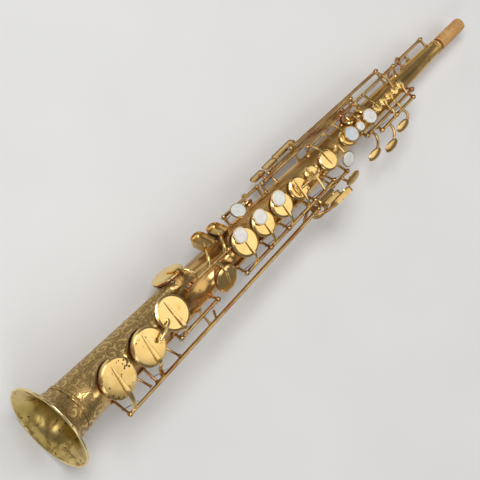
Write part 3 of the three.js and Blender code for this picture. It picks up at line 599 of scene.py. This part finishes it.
# %% Bent bars
def bar(name, points, width, thickness, radii=None, steps=5, twist="Z_UP", section_steps=2):
    deselect()
    bpy.ops.curve.primitive_bezier_curve_add(location=(0, 0, 0))
    ob = bpy.context.object
    curve = ob.data
    curve.resolution_u = steps
    curve.twist_mode = twist
    spline = curve.splines[0]
    spline.bezier_points.add(len(points) - 2)
    for i, (point, place) in enumerate(zip(spline.bezier_points, points)):
        point.co = spot(*place)
        point.radius = radii[i] if radii else 1
        point.handle_left_type = point.handle_right_type = "AUTO"
    bpy.ops.curve.primitive_bezier_circle_add(radius=MM, location=(0, 0, 0))
    section = bpy.context.object
    section.data.resolution_u = section_steps
    for p in section.data.splines[0].bezier_points:
        for part in ("co", "handle_left", "handle_right"):
            v = getattr(p, part)
            setattr(p, part, (v.x * thickness / 2, v.y * width / 2, 0))
    curve.bevel_mode = "OBJECT"
    curve.bevel_object = section
    curve.use_fill_caps = True
    deselect()
    ob.select_set(True)
    bpy.context.view_layer.objects.active = ob
    bpy.ops.object.convert(target="MESH")
    bpy.data.objects.remove(section)
    begin_edit()
    bpy.ops.mesh.remove_doubles(threshold=1e-7)
    return end_edit(bpy.context.object, name, 40)


# %% [markdown]
# Finger plates start as a block. Its four upright edges are rounded by a wide bevel, then the rim of the
# top is softened by a narrow one, which is what catches the light on the real touch.

# %% Finger plates
def plate(length, width, thickness, place, angle, corner):
    deselect()
    bpy.ops.mesh.primitive_cube_add(size=1, location=(0, 0, 0))
    ob = bpy.context.object
    begin_edit()
    bpy.ops.transform.resize(value=(width * MM, length * MM, thickness * MM))
    bpy.ops.mesh.select_all(action="DESELECT")
    bpy.ops.object.mode_set(mode="OBJECT")
    for e in ob.data.edges:
        a, b = (ob.data.vertices[i].co for i in e.vertices)
        e.select = abs(a.x - b.x) < 1e-7 and abs(a.y - b.y) < 1e-7
    bpy.ops.object.mode_set(mode="EDIT")
    bpy.ops.mesh.select_mode(type="EDGE")
    bpy.ops.mesh.bevel(offset=corner * MM, segments=5, affect="EDGES")
    bpy.ops.object.mode_set(mode="OBJECT")
    for p in ob.data.polygons:
        p.select = p.normal.z > 0.9
    bpy.ops.object.mode_set(mode="EDIT")
    bpy.ops.mesh.select_mode(type="FACE")
    bpy.ops.mesh.bevel(offset=min(0.45 * thickness, 0.8) * MM, segments=2, affect="EDGES")
    bpy.ops.mesh.select_mode(type="VERT")
    return with_finish(put(end_edit(ob, "touch", 40), facing(place, angle)), TOUCH_BRASS)


# %% [markdown]
# The palm touches and the G sharp touch are smooth ovals, so they start as a ball that is squashed to size.

# %% Oval touches
def oval(length, width, thickness, place, angle):
    deselect()
    bpy.ops.mesh.primitive_uv_sphere_add(segments=32, ring_count=16, radius=0.5, location=(0, 0, 0))
    ob = bpy.context.object
    begin_edit()
    bpy.ops.transform.resize(value=(width * MM, length * MM, thickness * MM))
    bpy.ops.transform.translate(value=(0, 0, thickness * 0.45 * MM))
    return with_finish(put(end_edit(ob, "touch", 60), facing(place, angle)), TOUCH_BRASS)


# %% [markdown]
# Pieces that are brazed to each other become one object, each keeping its finish. A finished piece is laid
# down with the rest of the horn and told which body carries it, and the plain solid it stands for, if any, is
# hidden.

# %% Joining and handing over
def joined(name, parts):
    deselect()
    for part in parts:
        part.select_set(True)
    bpy.context.view_layer.objects.active = parts[0]
    bpy.ops.object.join()
    parts[0].name = name
    return parts[0]


def hand_over(ob, body, nodes=()):
    put(ob, at_rest(body))
    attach(ob, body)
    if nodes:
        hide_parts(*nodes)
    print(ob.name, "rides on", body, "with", len(ob.data.polygons), "faces")


# %% [markdown]
# ## The body tube
# The tube is a plain cone with chimneys drawn up out of it. Outside and chimneys are united, then the bore
# and the holes are cut away, so that each raised pad shows a real hole beneath it.

# %% Body tube
def cut(ob, tool, operation):
    deselect()
    bpy.context.view_layer.objects.active = ob
    step = ob.modifiers.new("step", "BOOLEAN")
    step.operation, step.object, step.solver = operation, tool, "EXACT"
    bpy.ops.object.modifier_apply(modifier="step")
    bpy.data.objects.remove(tool)


SHEET = 0.9
JOINT = 26  # where the tube is let into the bell


def tube_piece():
    heights = [JOINT, 60, 120, 200, 280, 360, 440, 520, 600, 608]
    outside = [(cone(s), s) for s in heights] + [(6.2, 608.4), (5.8, 610.6), (5.6, 649)]
    tube = turned("tube", outside, 96)
    inside = [(cone(s) - SHEET, s - (2 if s == JOINT else 0)) for s in heights[:-1]]
    inside += [(5.0, 612), (4.6, 651)]
    bore_tool = turned("bore", inside, 96)
    walls, holes = [], []
    for s, angle, radius, height in [h[:4] for h in HOLES.values()] + list(PIPS.values()):
        wall = radius - min(1.9, radius * 0.22) if radius > 3 else radius
        depth = cone(s) - math.sqrt(max(cone(s) ** 2 - wall ** 2, 0)) + 0.6
        top = cone(s) + height
        base = cone(s) - depth
        chimney = [(wall, base), (wall, top - 0.7), (wall + 0.15, top - 0.4), (wall + 0.05, top)]
        walls.append(put(turned("wall", [(r, z - base) for r, z in chimney], 40), on_horn(s, angle, base)))
        holes.append(put(turned("hole", [(wall - SHEET, 0), (wall - SHEET, top - base + 3)], 40),
                         on_horn(s, angle, base - 0.5)))
    cut(tube, joined("walls", walls), "UNION")
    cut(tube, bore_tool, "DIFFERENCE")
    cut(tube, joined("holes", holes), "DIFFERENCE")
    bpy.context.view_layer.objects.active = tube
    begin_edit()
    bpy.ops.mesh.dissolve_degenerate(threshold=1e-6)
    return end_edit(tube, "tube_with_tone_holes", 30)


tube = with_finish(tube_piece(), TUBE_BRASS)
hand_over(tube, "horn_body", ["body_tube"])

# %% [markdown]
# ## Bell
# The bell is spun from sheet: almost straight for a hand's width, then it opens very suddenly at the rim,
# which is rolled over a wire. The sheet's two faces are drawn as one closed outline.

# %% Bell, rim and rings
FLARE = [(45.2, 1.2), (43.4, 1.75), (41.6, 2.35), (39.8, 3.0), (37.6, 3.9), (35.6, 4.9), (33.8, 6.1),
         (32, 7.6), (30.4, 9.5), (29.1, 11.8), (28, 14.4), (27.1, 17.2), (26.4, 20), (25.7, 23), (25.1, 25.7)]
# The outside of the sheet is engraved like the tube, and the inside is left plain.
inner = [(r - 0.75, z - (0.55 if r > 38 else 0.3 if r > 32 else 0)) for r, z in reversed(FLARE)]
bell = turned("bell_flare_sheet", FLARE + inner, 128, hollow=True)
with_finish(bell, BELL_BRASS)
bell.data.materials.append(TUBE_BRASS)
for face in bell.data.polygons:
    if face.normal.x * face.center.x + face.normal.y * face.center.y > 0 and face.normal.z < 0.98:
        face.material_index = 1
hand_over(bell, "horn_body", ["bell_flare"])
turns = [2 * math.pi * i / 14 for i in range(14)]
bead = [(45.75 + 1.22 * math.cos(a), 1.25 + 1.2 * math.sin(a)) for a in turns]
rim = turned("rolled_rim", bead, 128, hollow=True)
hand_over(with_finish(rim, RIM_BRASS), "horn_body", ["bell_rim_bead"])


def ferrule(name, low, high, proud):
    c = cone(low) + 0.2
    span = high - low
    wave = [(0, 0.1), (0.04, 0.7), (0.12, 1), (0.22, 1), (0.3, 0.5), (0.42, 0.4), (0.58, 0.4), (0.7, 0.5),
            (0.78, 1), (0.88, 1), (0.96, 0.7), (1, 0.1)]
    rings = [(c - 0.03 * span * t + proud * k, low + span * t) for t, k in wave]
    return turned(name, rings + [(cone(high) + 0.05, high), (cone(low) + 0.05, low)], 96, hollow=True)


for name, low, high, proud, node in (("bell_ferrule", JOINT, 30.5, 0.7, "bell_joint_ring"),
                                     ("cork_ferrule", 603, 607.6, 0.6, "neck_ring")):
    hand_over(with_finish(ferrule(name, low, high, proud), TUBE_BRASS), "horn_body", [node])

# %% [markdown]
# The cork is a glued sheet, squeezed a little thinner towards its end by the mouthpiece, with soft edges.

# %% Cork
cork_rings = [(6.15, 611), (7.15, 611), (7.28, 611.6), (7.3, 616), (7.27, 626), (7.2, 636), (7.1, 644),
              (6.95, 648), (6.8, 649.4), (6.5, 650), (6.15, 650)]
cork = turned("mouthpiece_cork_sleeve", cork_rings, 48, hollow=True, angle=60)
hand_over(with_finish(cork, CORK), "horn_body", ["mouthpiece_cork"])

# %% [markdown]
# ## Ribs and posts
# A rib is a strip of plate bent to the tube, with the posts of a key brazed along it. The strip is cut from
# a thin sleeve by two planes. A post is a flange, a waisted stem and a ball that is bored for the hinge.

# %% Ribs
def rib(low, high, angle, width):
    def band(s):
        return cone(s) + 0.02, cone(s) + 1.2
    heights = [low + (high - low) * i / 4 for i in range(5)]
    outer = [(band(s)[1], s) for s in heights]
    inner = [(band(s)[0], s) for s in reversed(heights)]
    strip = turned("strip", outer + inner, 96, hollow=True)
    frame_here = on_horn((low + high) / 2, angle, cone((low + high) / 2))
    across = frame_here.to_3x3().col[0]
    outward = frame_here.to_3x3().col[2]
    for direction, offset in ((across, width / 2), (-across, width / 2), (-outward, 0)):
        begin_edit()
        place = frame_here.translation + direction * offset * MM if offset else Vector((0, 0, 0))
        bpy.ops.mesh.bisect(plane_co=place, plane_no=direction, clear_outer=True, use_fill=True)
        bpy.ops.object.mode_set(mode="OBJECT")
    begin_edit()
    return end_edit(strip, "strip", 30)


def on_rib(s, angle):
    return on_horn(s, angle, cone(s) + 0.4).translation


def post(hinge, s, foot_angle):
    head, foot = hinge_at(hinge, s), on_rib(s, foot_angle)
    reach = (head - foot).length / MM
    rings = [(2.7, 0), (2.7, 0.9), (2.2, 1.3), (1.5, 1.9), (1.3, 3), (1.25, max(reach - 3.4, 3.4)),
             (1.5, max(reach - 2.6, 3.8)), (2.2, reach - 1.5), (2.55, reach - 0.5), (2.6, reach + 0.2),
             (2.4, reach + 1.2), (1.8, reach + 2), (0.9, reach + 2.45), (0.3, reach + 2.5)]
    return fitted("post", rings, 14, between(foot, head), ROD_BRASS)


def stay(hinge, s, foot_angle):
    """A forked stay that steadies a long tube from below and just clears it."""
    tube, foot = hinge_at(hinge, s + 3), on_rib(s, foot_angle)
    reach = (tube - foot).length / MM - 2.7
    rings = [(2.6, 0), (2.6, 0.8), (1.6, 1.6), (1.2, 3), (1.2, reach - 2.4), (1.7, reach - 1.2), (2, reach)]
    return fitted("stay", rings, 14, between(foot, tube), ROD_BRASS)


def needle(hinge, s, foot_angle):
    """A blued needle spring, pushed through the post and lying along the tube."""
    head, foot = hinge_at(hinge, s), on_rib(s, foot_angle)
    low = foot.lerp(head, 0.62)
    tip = hinge_at(hinge, s + 17) + (foot - head).normalized() * 2.6 * MM
    rings = [(0.42, -2.6), (0.42, 4), (0.16, (tip - low).length / MM)]
    return fitted("needle", rings, 8, between(low, tip), BLUE_STEEL)


def screw(hinge, s, end):
    """A pivot screw's head on the outer face of a post. end is -1 for the lower post, +1 above."""
    low, high = (spot(*p) for p in HINGES[hinge])
    head = hinge_at(hinge, s)
    rings = [(1.5, 1.6), (1.5, 2.9), (1.2, 3.2)]
    return fitted("screw", rings, 12, between(head, head + (high - low).normalized() * end), STEEL)


# For each rib: its two ends, its angle and width, then its posts, and its stays if it has any. A post or a
# stay is given by its hinge, its height and the angle of its foot.
RIBS = {
    "bell_key_rib": (58, 190, 68, 5,
                     [("low_b_flat", 61, 68), ("low_b", 104.5, 68), ("c_sharp_lever", 187, 68)],
                     [("low_b_flat", 92.5, 68), ("low_b_flat", 134.5, 68)]),
    "c_sharp_rib": (146.5, 206.5, 53.5, 3.4, [("c_sharp", 149, 53.5), ("c_sharp", 204, 53.5)]),
    "foot_key_rib": (185.5, 247.6, -14, 4.4, [("foot", 188.5, -14), ("foot", 244.6, -13)]),
    "right_stack_rib": (243, 392, 52, 3.4, [("right_stack", s, 52) for s in (246, 284, 313.5, 357.5, 389.5)]),
    "trill_rib": (270.5, 326, -74, 4.4, [("trill", 273.6, -74), ("trill", 323, -74)]),
    "side_key_rib": (328, 527, -93, 3,
                     [("side_b_flat", 331, -91), ("side_c", 349, -95), ("high_e", 385, -92),
                      ("side_b_flat", 458, -92), ("side_c", 480.5, -95), ("high_e", 524.5, -92)]),
    "table_rib": (346, 416, 84, 4,
                  [("low_b_flat", 355, 86), ("low_b", 355, 84), ("c_sharp_lever", 355, 83),
                   ("g_sharp_lever", 389.5, 83), ("g_sharp_lever", 414, 83)]),
    "left_stack_rib": (390, 542, -72, 3, [("left_stack", s, -71) for s in (393, 447.6, 539)]),
    "palm_rib": (454, 539, 52, 4,
                 [("palm_inner", 457, 47), ("palm_outer", 477, 58), ("palm_outer", 503.4, 58),
                  ("palm_outer", 533.5, 56), ("palm_inner", 536.5, 47)]),
    "thumb_rib": (425, 551, -152, 4.4, [("octave_lever", 428, -152), ("octave_lever", 548, -152)]),
    "lower_octave_rib": (453, 487, 132, 4.4, [("lower_octave", 456, 132), ("lower_octave", 484, 132)]),
    "octave_rib": (552.5, 599, -92, 4.4, [("upper_octave", 555.5, -92), ("upper_octave", 596, -92)]),
}
for name, (low, high, angle, width, posts, *stays) in RIBS.items():
    parts = [with_finish(rib(low, high, angle, width), TUBE_BRASS)]
    parts += [post(*p) for p in posts]
    parts += [stay(*p) for p in (stays[0] if stays else ())]
    parts += [needle(*p) for p in posts[:-1] if p[1] < HINGES[p[0]][1][0] - 20]
    for h, s, _ in posts:
        first = min(t for g, t, _ in posts if g == h)
        last = max(t for g, t, _ in posts if g == h)
        if s in (first, last) and HINGES[h][0][0] - 1 < s < HINGES[h][1][0] + 1:
            parts.append(screw(h, s, 1 if s == last else -1))
    hand_over(joined(name + "_with_posts", parts), "horn_body", [name])
print("ribs made:", len(RIBS))

# %% [markdown]
# ## Parts of a key
# A cup is a shallow dish with a flat face and a broad bevel, a leather pad sits in it, and an arm brazed
# across its face runs to the hinge tube. A pearl sits in a little brass holder.

# %% Cup, pad, arm and hinge tube
def lip(radius):
    return 2.1 if radius > 10 else 1.2


def cup(name, material):
    s, angle, radius, _, height = HOLES[name]
    step = min(2.1, radius * 0.14)
    edge = lip(radius)
    rings = [(radius - 1.1, edge), (radius - 0.1, edge), (radius, edge + 0.2), (radius, height * 0.64),
             (radius - 0.25, height * 0.72), (radius - step, height - 0.35),
             (radius - step - 0.35, height - 0.12), (radius - step - 0.9, height - 0.05),
             (radius * 0.45, height + 0.05), (radius * 0.2, height + 0.08)]
    sides = 64 if radius > 10 else 40
    return fitted("cup", rings, sides, on_horn(s, angle, seat(name) + SEAT_GAP), material, 25)


def pad(name):
    s, angle, radius = HOLES[name][:3]
    rings = [(radius * 0.5, 0.12), (radius - 2.2, 0.1), (radius - 0.8, 0.05), (radius - 0.3, 0.3),
             (radius - 0.1, 0.9), (radius - 0.2, lip(radius) - 0.05), (radius - 1.3, lip(radius) + 0.3)]
    place = on_horn(s, angle, seat(name) + SEAT_GAP)
    return fitted(name + "_leather_pad", rings, 48, place, LEATHER, 60)


def arm(name, hinge, width, reach, over=()):
    """A flat arm from the hinge, by way of the (x, h) points in over, to reach mm past the cup's middle."""
    s, angle, radius = HOLES[name][:3]
    pivot = hinge_at(hinge, s) / MM
    px, ph = pivot.x, -pivot.y
    cx, ch = around(angle, cup_top(name) + 0.35)
    tx, th = math.cos(math.radians(angle)), -math.sin(math.radians(angle))
    side_sign = math.copysign(1, (px - cx) * tx + (ph - ch) * th)

    def at(d, lift):
        nx, nh = around(angle, lift)
        return cx + side_sign * tx * d + nx, ch + side_sign * th * d + nh

    line = [(px, ph), *over, at(radius * 0.92, 0.15), at(radius * 0.3, 0.35), at(-reach * 0.5, 0.2),
            at(-reach, -0.1)]
    radii = [1.15, *([1.0] * len(over)), 1.0, 0.9, 0.6, 0.3]
    return with_finish(bar("arm", [(s, x, h) for x, h in line], width, 2.1, radii), CUP_BRASS)


def tube_on(hinge, low, high):
    a, b = hinge_at(hinge, low), hinge_at(hinge, high)
    reach = (b - a).length / MM
    rings = [(1.55, 0), (1.9, 0.15), (1.9, 1.5), (1.7, 1.7), (1.7, reach - 1.7), (1.9, reach - 1.5),
             (1.9, reach - 0.15), (1.55, reach)]
    return fitted("tube", rings, 16, between(a, b), ROD_BRASS)


# %% Pearl and holder, roller, adjusting screw and bent rod
PEARL_RADIUS = 7.4


def holder(place, angle, radius):
    wide = radius + 0.85
    rings = [(wide * 0.75, 0), (wide * 0.9, 0.25), (wide, 1.0), (wide, 2.0), (wide - 0.25, 2.2),
             (radius + 0.1, 2.15), (radius + 0.1, 1.2)]
    return fitted("holder", rings, 40, facing(place, angle), TOUCH_BRASS, 30)


def pearl(body, place, angle, radius, material):
    rings = [(radius - 0.1, 1.25), (radius, 1.5), (radius, 2.3), (radius - 0.35, 2.75), (radius - 1.2, 3.05),
             (radius * 0.6, 3.1), (radius * 0.3, 2.95), (radius * 0.1, 2.9)]
    ob = fitted(body + "_pearl_touch", rings, 40, facing(place, angle), material, 60)
    hand_over(ob, body, [body + "_pearl"])


def roller(body, a, b, radius):
    a, b = spot(*a), spot(*b)
    length = (b - a).length / MM
    rings = [(radius * 0.7, 0), (radius, 0.35), (radius, length - 0.35), (radius * 0.7, length)]
    hand_over(fitted(body + "_roller", rings, 16, between(a, b), RESIN), body, ())


def knob(place, angle, radius=1.5, height=1.8):
    """A small round-headed adjusting screw."""
    rings = [(radius * 0.7, -0.6), (radius * 0.7, 0.2), (radius, 0.5), (radius, height * 0.6),
             (radius * 0.75, height * 0.9), (radius * 0.3, height)]
    return fitted("knob", rings, 16, facing(place, angle), RIM_BRASS)


def rod(points, radius, material=ROD_BRASS, taper=None):
    return with_finish(bar("rod", points, radius * 2, radius * 2, taper, 6, "MINIMUM", 3), material)


# %% [markdown]
# Every key is made alike: its cup if it has one, its hinge tube, and the arms and touches that are its own.
# They are joined and handed over, and then the pad goes in. A key with a pearl also gets the holder and the
# pearl.

# %% Whole keys
def make_key(body, hinge, tube, parts, brass=CUP_BRASS):
    cups = [cup(body, brass)] if body in HOLES else []
    node = body if body.endswith("lever") else body + "_key"
    hand_over(joined(node + "_piece", cups + [tube_on(hinge, *tube)] + parts), body, [node])
    if cups:
        pad_node = body + "_pad"
        hand_over(pad(body), body, [pad_node] if pad_node in frame["nodes"] else ())


def pearl_key(body, hinge, tube, parts, place, angle=0, radius=PEARL_RADIUS, material=PEARL):
    make_key(body, hinge, tube, parts + [holder(place, angle, radius)])
    pearl(body, place, angle, radius, material)


# %% [markdown]
# ## Bell keys
# Low B flat and low B have their cups far from the fingers that work them, so each has a long tube up the
# right side to the left hand's table. Their broad arms end in a point near the far edge of the cup.

# %% Low B flat, low B and C sharp
make_key("low_b_flat", "low_b_flat", (64, 352), [
    arm("low_b_flat", "low_b_flat", 5.2, 14),
    rod([(346, 30.6, 16.7), (350, 33.5, 21.5), (358, 36, 24.5), (366, 36.4, 25)], 1.6),
    plate(28, 12, 1.7, (379, 35.8, 25), 82, 4),
], SPOTTED_BRASS)
make_key("low_b", "low_b", (107.5, 352), [
    arm("low_b", "low_b", 5.2, 14, [(31, 17)]),
    rod([(346, 31.2, 11.3), (350, 36, 12), (358, 36.6, 16), (364, 32.5, 19.5)], 1.6),
    plate(24, 11, 1.7, (371.5, 31.2, 19.5), 78, 4),
])
make_key("c_sharp", "c_sharp", (152, 201), [
    arm("c_sharp", "c_sharp", 4.8, 13),
    rod([(196, 22.8, 19.4), (196, 24.4, 16), (196, 24.8, 12.4)], 1.2),
    rod([(146.5, 1.6, 28.9), (143.5, 2.8, 33.4), (133, 6.2, 37.4), (123.5, 9, 36.6)], 1.4, RIM_BRASS),
    fitted("foot", [(2.4, 0), (2.7, 0.3), (2.7, 1.1), (2.2, 1.5)], 20, facing((123.5, 9, 35.2), 0),
           CUP_BRASS),
])
make_key("c_sharp_lever", "c_sharp_lever", (190, 352), [
    rod([(196, 36.4, 7.1), (196, 32.4, 9.6), (196, 28.2, 13.4)], 1.2),
    rod([(338, 32.3, 5.8), (343, 28, 8), (349, 24.6, 11.8), (356, 24.2, 14.6), (362, 27.2, 14)], 1.5),
    plate(24, 9, 1.7, (371, 27.6, 13.6), 66, 3),
])

# %% [markdown]
# ## Little finger of the right hand
# Low C and E flat share one hinge line on the front. Each lever bends down the left side to its touch, and
# the finger slides from one touch to the other over two small rollers.

# %% Low C and E flat
make_key("low_c", "foot", (191.3, 220), [
    rod([(198, -6.8, 25.3), (197.5, -13, 29), (195, -18.5, 28.4), (190.5, -24.9, 21.6), (188, -26.1, 12.7),
         (187, -26.9, 5.5)], 1.8, CUP_BRASS, [1, 1, 1, 1, 0.9, 0.4]),
    rod([(216, -6, 24.9), (221, -13, 26), (228, -18.8, 20.6), (233, -23, 15)], 1.7, CUP_BRASS),
    plate(14.5, 25, 1.7, (234, -24.3, 13.6), -52, 5.5),
])
make_key("e_flat", "foot", (220.6, 241.8), [
    arm("e_flat", "foot", 4, 9, [(2, 28.6)]),
    rod([(239, -5.2, 24.4), (243, -11, 26), (248, -17, 21.5), (252, -21.4, 16.2)], 1.7, CUP_BRASS),
    plate(14.5, 21, 1.7, (253.5, -22.9, 14.2), -52, 5.5),
])
roller("low_c", (242.7, -30, 7.3), (242.7, -19.5, 20.7), 1.25)
roller("e_flat", (245.1, -28.5, 8), (245.1, -18.3, 21.1), 1.1)

# %% [markdown]
# ## Lower stack
# D, E and F carry their pearls on top of their cups and hinge on the right-hand rod. The F sharp cup closes
# with F, and a tail with an adjusting screw holds the G sharp cup down.

# %% D, E and F
for name, tube, s, x in (("d", (249, 281), 260.6, -8.6), ("e", (287, 310.5), 290.8, -7.8),
                         ("f", (316.5, 334), 320.6, -7.8)):
    pearl_key(name, "right_stack", tube, [arm(name, "right_stack", 3.4, 2)], (s, x, cup_top(name) + 0.4))

# %% F sharp and the F trill
top = cup_top("f_sharp")
make_key("f_sharp", "right_stack", (334.6, 354.5), [
    arm("f_sharp", "right_stack", 3.2, 9),
    rod([(351, 2, top), (358, 1.5, top + 3.4), (366, 1, top + 4.6), (376, 0.5, top + 4)], 1.3),
    rod([(344.5, -7.5, top - 0.4), (344.5, -4, top + 2.4), (344.5, 3, top + 2.6), (344.5, 7.5, top - 0.4)], 1,
        CUP_BRASS),
    knob((375, 0.5, top + 4.6), 0), knob((357, 6.5, top - 0.2), 0, 1.3),
])
pearl_key("f_trill", "trill", (276.5, 320), [
    rod([(310, -26.8, 6), (310, -29, 0), (310, -26, -6), (310, -20.8, -6.8)], 1.3),
    rod([(285, -27.7, 6), (285, -28, 10), (285, -23.6, 14.2)], 1.2),
], (284.8, -23.2, 14.6), -25)

# %% G sharp
top = cup_top("g_sharp")
make_key("g_sharp", "right_stack", (360.5, 386.5), [
    arm("g_sharp", "right_stack", 2.8, 2),
    rod([(371.5, -6, top - 0.2), (371.5, 0, top + 0.5), (371.5, 6, top - 0.2)], 0.9, CUP_BRASS),
    knob((379, 2, top), 0, 1.2), knob((371.5, -5, top), 0, 1.2), knob((371.5, 5, top), 0, 1.2),
    rod([(383.5, 21.2, 17.6), (384, 21.6, 14.4), (384, 21.4, 11.6)], 1.1),
])
make_key("g_sharp_lever", "g_sharp_lever", (392.3, 411.2), [
    rod([(394.5, 26, 8.9), (394.5, 25.9, 12.8), (389, 25.4, 13.2), (384, 24.2, 12)], 1.1),
    rod([(404, 26, 8.8), (404, 31, 12), (404, 31.8, 20.4)], 1.5),
    oval(21, 12.6, 2.2, (405.5, 31.4, 21.2), 42),
])

# %% [markdown]
# ## Upper stack
# G, A, bis and B hinge on the left-hand rod. G's pearl stands on a long arm that crosses the tube, and so
# does B's.

# %% G, A, bis and B
def pearl_arm(s, points, width, thickness):
    return with_finish(bar("arm", [(s, x, h) for x, h in points], width, thickness), CUP_BRASS)


pearl_key("g", "left_stack", (395.7, 423), [
    arm("g", "left_stack", 3, 6),
    pearl_arm(415.5, [(-20.4, 13.5), (-17, 18.4), (-9, 20.6), (6, 21), (14.8, 18.4)], 3, 1.8),
], (414.8, 15, 17.8), 35)
pearl_key("a", "left_stack", (423.6, 445), [arm("a", "left_stack", 2.8, 1)], (437.2, 0.5, cup_top("a") + 0.4),
          material=GREY_PEARL)
top = cup_top("bis")
pearl_key("bis", "left_stack", (451, 463), [
    arm("bis", "left_stack", 2.6, 1),
    rod([(457.5, 0, top + 0.4), (455, 0.8, top + 1), (452, 1.2, top + 1.6)], 1.1),
], (451.8, 1.2, top + 1.8), radius=4.6)
pearl_key("b", "left_stack", (463.6, 536.2), [
    arm("b", "left_stack", 2.6, 1),
    pearl_arm(468.6, [(-19.6, 12), (-17.5, 17.4), (-9, 19.9), (-2, 20)], 2.8, 1.6),
    *(knob((s, -19.2, 13.2), -40, 1.4, 2.2) for s in (474, 481, 488)),
], (467.4, 0.6, 20.2))

# %% [markdown]
# ## Side keys
# Three long tubes run up the left side from the plates under the right hand's first finger.

# %% Side B flat, side C and high E
def side_key(name, tube, arm_line, link, place, length, arm_brass=CUP_BRASS):
    make_key(name, name, tube, [
        rod(arm_line, 1.3, arm_brass), rod(link, 1.5), plate(length, 8.5, 2.2, place, -62, 2),
    ])


side_key("side_b_flat", (333.7, 455.3),
         [(452.5, -22.1, 5.5), (452.5, -18.4, 7.4), (452.5, -14.8, 11.4), (452.5, -11.2, 12.6)],
         [(338, -25.3, 5), (338, -29.5, 3.6), (338, -32.6, -1)], (337.2, -32.4, -2.5), 17)
side_key("side_c", (351.7, 477.8),
         [(473, -23.5, -2), (473, -19.4, 3.4), (473, -14.8, 8.8), (473, -11, 12.2)],
         [(358, -26.8, -3), (358, -30, -3.4), (358, -33, -3.2)], (357.4, -32.8, -3.6), 17)
side_key("high_e", (387.7, 521.8),
         [(518.2, -26.2, 1), (518.2, -25.6, 9), (518.2, -19, 15.4), (518.2, -8, 16.8), (518.2, 0, 14.6)],
         [(391, -29.8, 1.5), (391, -32.6, -1), (391, -33.6, -5)], (382.5, -33.2, -6.5), 30, ROD_BRASS)

# %% [markdown]
# ## Palm keys
# Their touches are thick ovals that fit the palm of the left hand, on bent stems.

# %% Palm keys
def palm_key(name, hinge, tube, over, stem, touch, angle):
    make_key(name, hinge, tube, [
        arm(name, hinge, 2.4, 1, over), rod(stem, 1.4), oval(20, 10.4, 3.8, touch, angle),
    ])


palm_key("palm_d", "palm_outer", (479.8, 500.6), [(18.5, 15.6), (12.4, 18.2)],
         [(489, 20.3, 11.1), (487, 27, 13.5), (481, 34.4, 13), (474, 38, 11.6)], (472.6, 37.6, 11.4), 26)
palm_key("palm_e_flat", "palm_outer", (506.2, 530.7), [(18.2, 15.6), (12.2, 18)],
         [(513, 19.7, 11.1), (513, 27, 12.6), (508, 31.4, 12.4), (500, 32, 11)], (499, 31.4, 11.6), 24)
palm_key("palm_f", "palm_inner", (459.8, 533.7), [],
         [(464, 13.4, 14.2), (462, 20.5, 17.6), (457, 28.4, 15.6), (451, 31.6, 13)], (449, 31.6, 12.8), 24)

# %% [markdown]
# ## Octave keys
# The thumb's lever lies along the back and opens a small vent near the cork.

# %% Octave keys
def vent_pad(which):
    s, angle, _, height = PIPS[which]
    rings = [(2.2, 0.7), (3.1, 0.7), (3.2, 1), (3.2, 2.2), (2.6, 2.7)]
    return fitted("vent_cup", rings, 24, on_horn(s, angle, cone(s) + height + SEAT_GAP), CUP_BRASS)


make_key("octave_lever", "octave_lever", (430.8, 545.2), [
    rod([(434, -9.4, -16.9), (434, -5, -19.6), (432, 0, -20.4)], 1.5),
    plate(20, 13, 2, (430, 2.4, -20.4), 176, 5),
    rod([(542, -7.6, -13.6), (547, -13, -15), (560, -14.2, -10.4)], 1.2),
    rod([(462, -9.1, -16.3), (462, -3, -19.6), (462, 5, -20.6), (462, 9.4, -20)], 1.2),
])
make_key("lower_octave", "lower_octave", (458.8, 481.2), [
    vent_pad("lower"), rod([(470, 12.2, -11.6), (470, 9.5, -17.2), (470, 4.2, -16.6)], 1.2),
    rod([(461, 12.3, -11.8), (461, 14.6, -15.4), (461, 12.4, -19)], 1.1),
])
make_key("upper_octave", "upper_octave", (558.3, 593.2), [
    vent_pad("upper"), rod([(573, -17.4, -1), (573, -16.6, -7.6), (573, -9.6, -9.6)], 1.2),
    rod([(561, -17.6, -1), (561, -19.8, -5.2), (561, -18.2, -10.6)], 1.1),
])

# %% [markdown]
# ## Thumb hook, thumb rest and strap ring
# These are on the back, under the horn as it lies.

# %% Parts on the back
flat = cone(290) + 15.35
hook_line = [(3, -cone(290) - 1.9), (-3, -cone(290) - 4.1), (-8.4, -flat + 6), (-9.4, -flat + 1.4),
             (-8, -flat), (0, -flat), (9.5, -flat), (12.4, -flat + 1.6), (14, -flat + 5)]
hook = bar("hook", [(290, x, h) for x, h in hook_line], 12, 2.3, None, 6)
foot = rib(281, 299, 180, 11)
hook = with_finish(joined("thumb_hook_plate", [hook, foot]), TUBE_BRASS)
hand_over(hook, "horn_body", ["thumb_hook"])
button = [(6.6, 0.1), (6.6, 1.6), (6.3, 2.2), (5.2, 3), (3, 3.6), (1, 3.75)]
rest = fitted("thumb_rest_button", button, 40, on_horn(408, 180, cone(408) + 0.3), RESIN, 50)
hand_over(rest, "horn_body", ["thumb_rest"])
deselect()
bpy.ops.mesh.primitive_torus_add(major_radius=4.6 * MM, minor_radius=1.15 * MM, major_segments=40,
                                 minor_segments=14, location=(0, 0, 0))
eye = bpy.context.object
begin_edit()
eye = end_edit(eye, "eye")
put(eye, on_horn(352, 180, cone(352) + 6) @ Matrix.Rotation(math.pi / 2, 4, "Y"))
hand_over(with_finish(joined("strap_ring_eye", [eye, rib(346, 358, 180, 7)]), TUBE_BRASS), "horn_body",
          ["strap_ring"])

# %% [markdown]
# The two stack rods are drawn steel and keep the frame's own shape.

# %% Carried nodes
for node in ("right_stack_rod", "left_stack_rod"):
    ob = frame["nodes"][node]
    ob.data.materials.clear()
    ob.data.materials.append(STEEL)
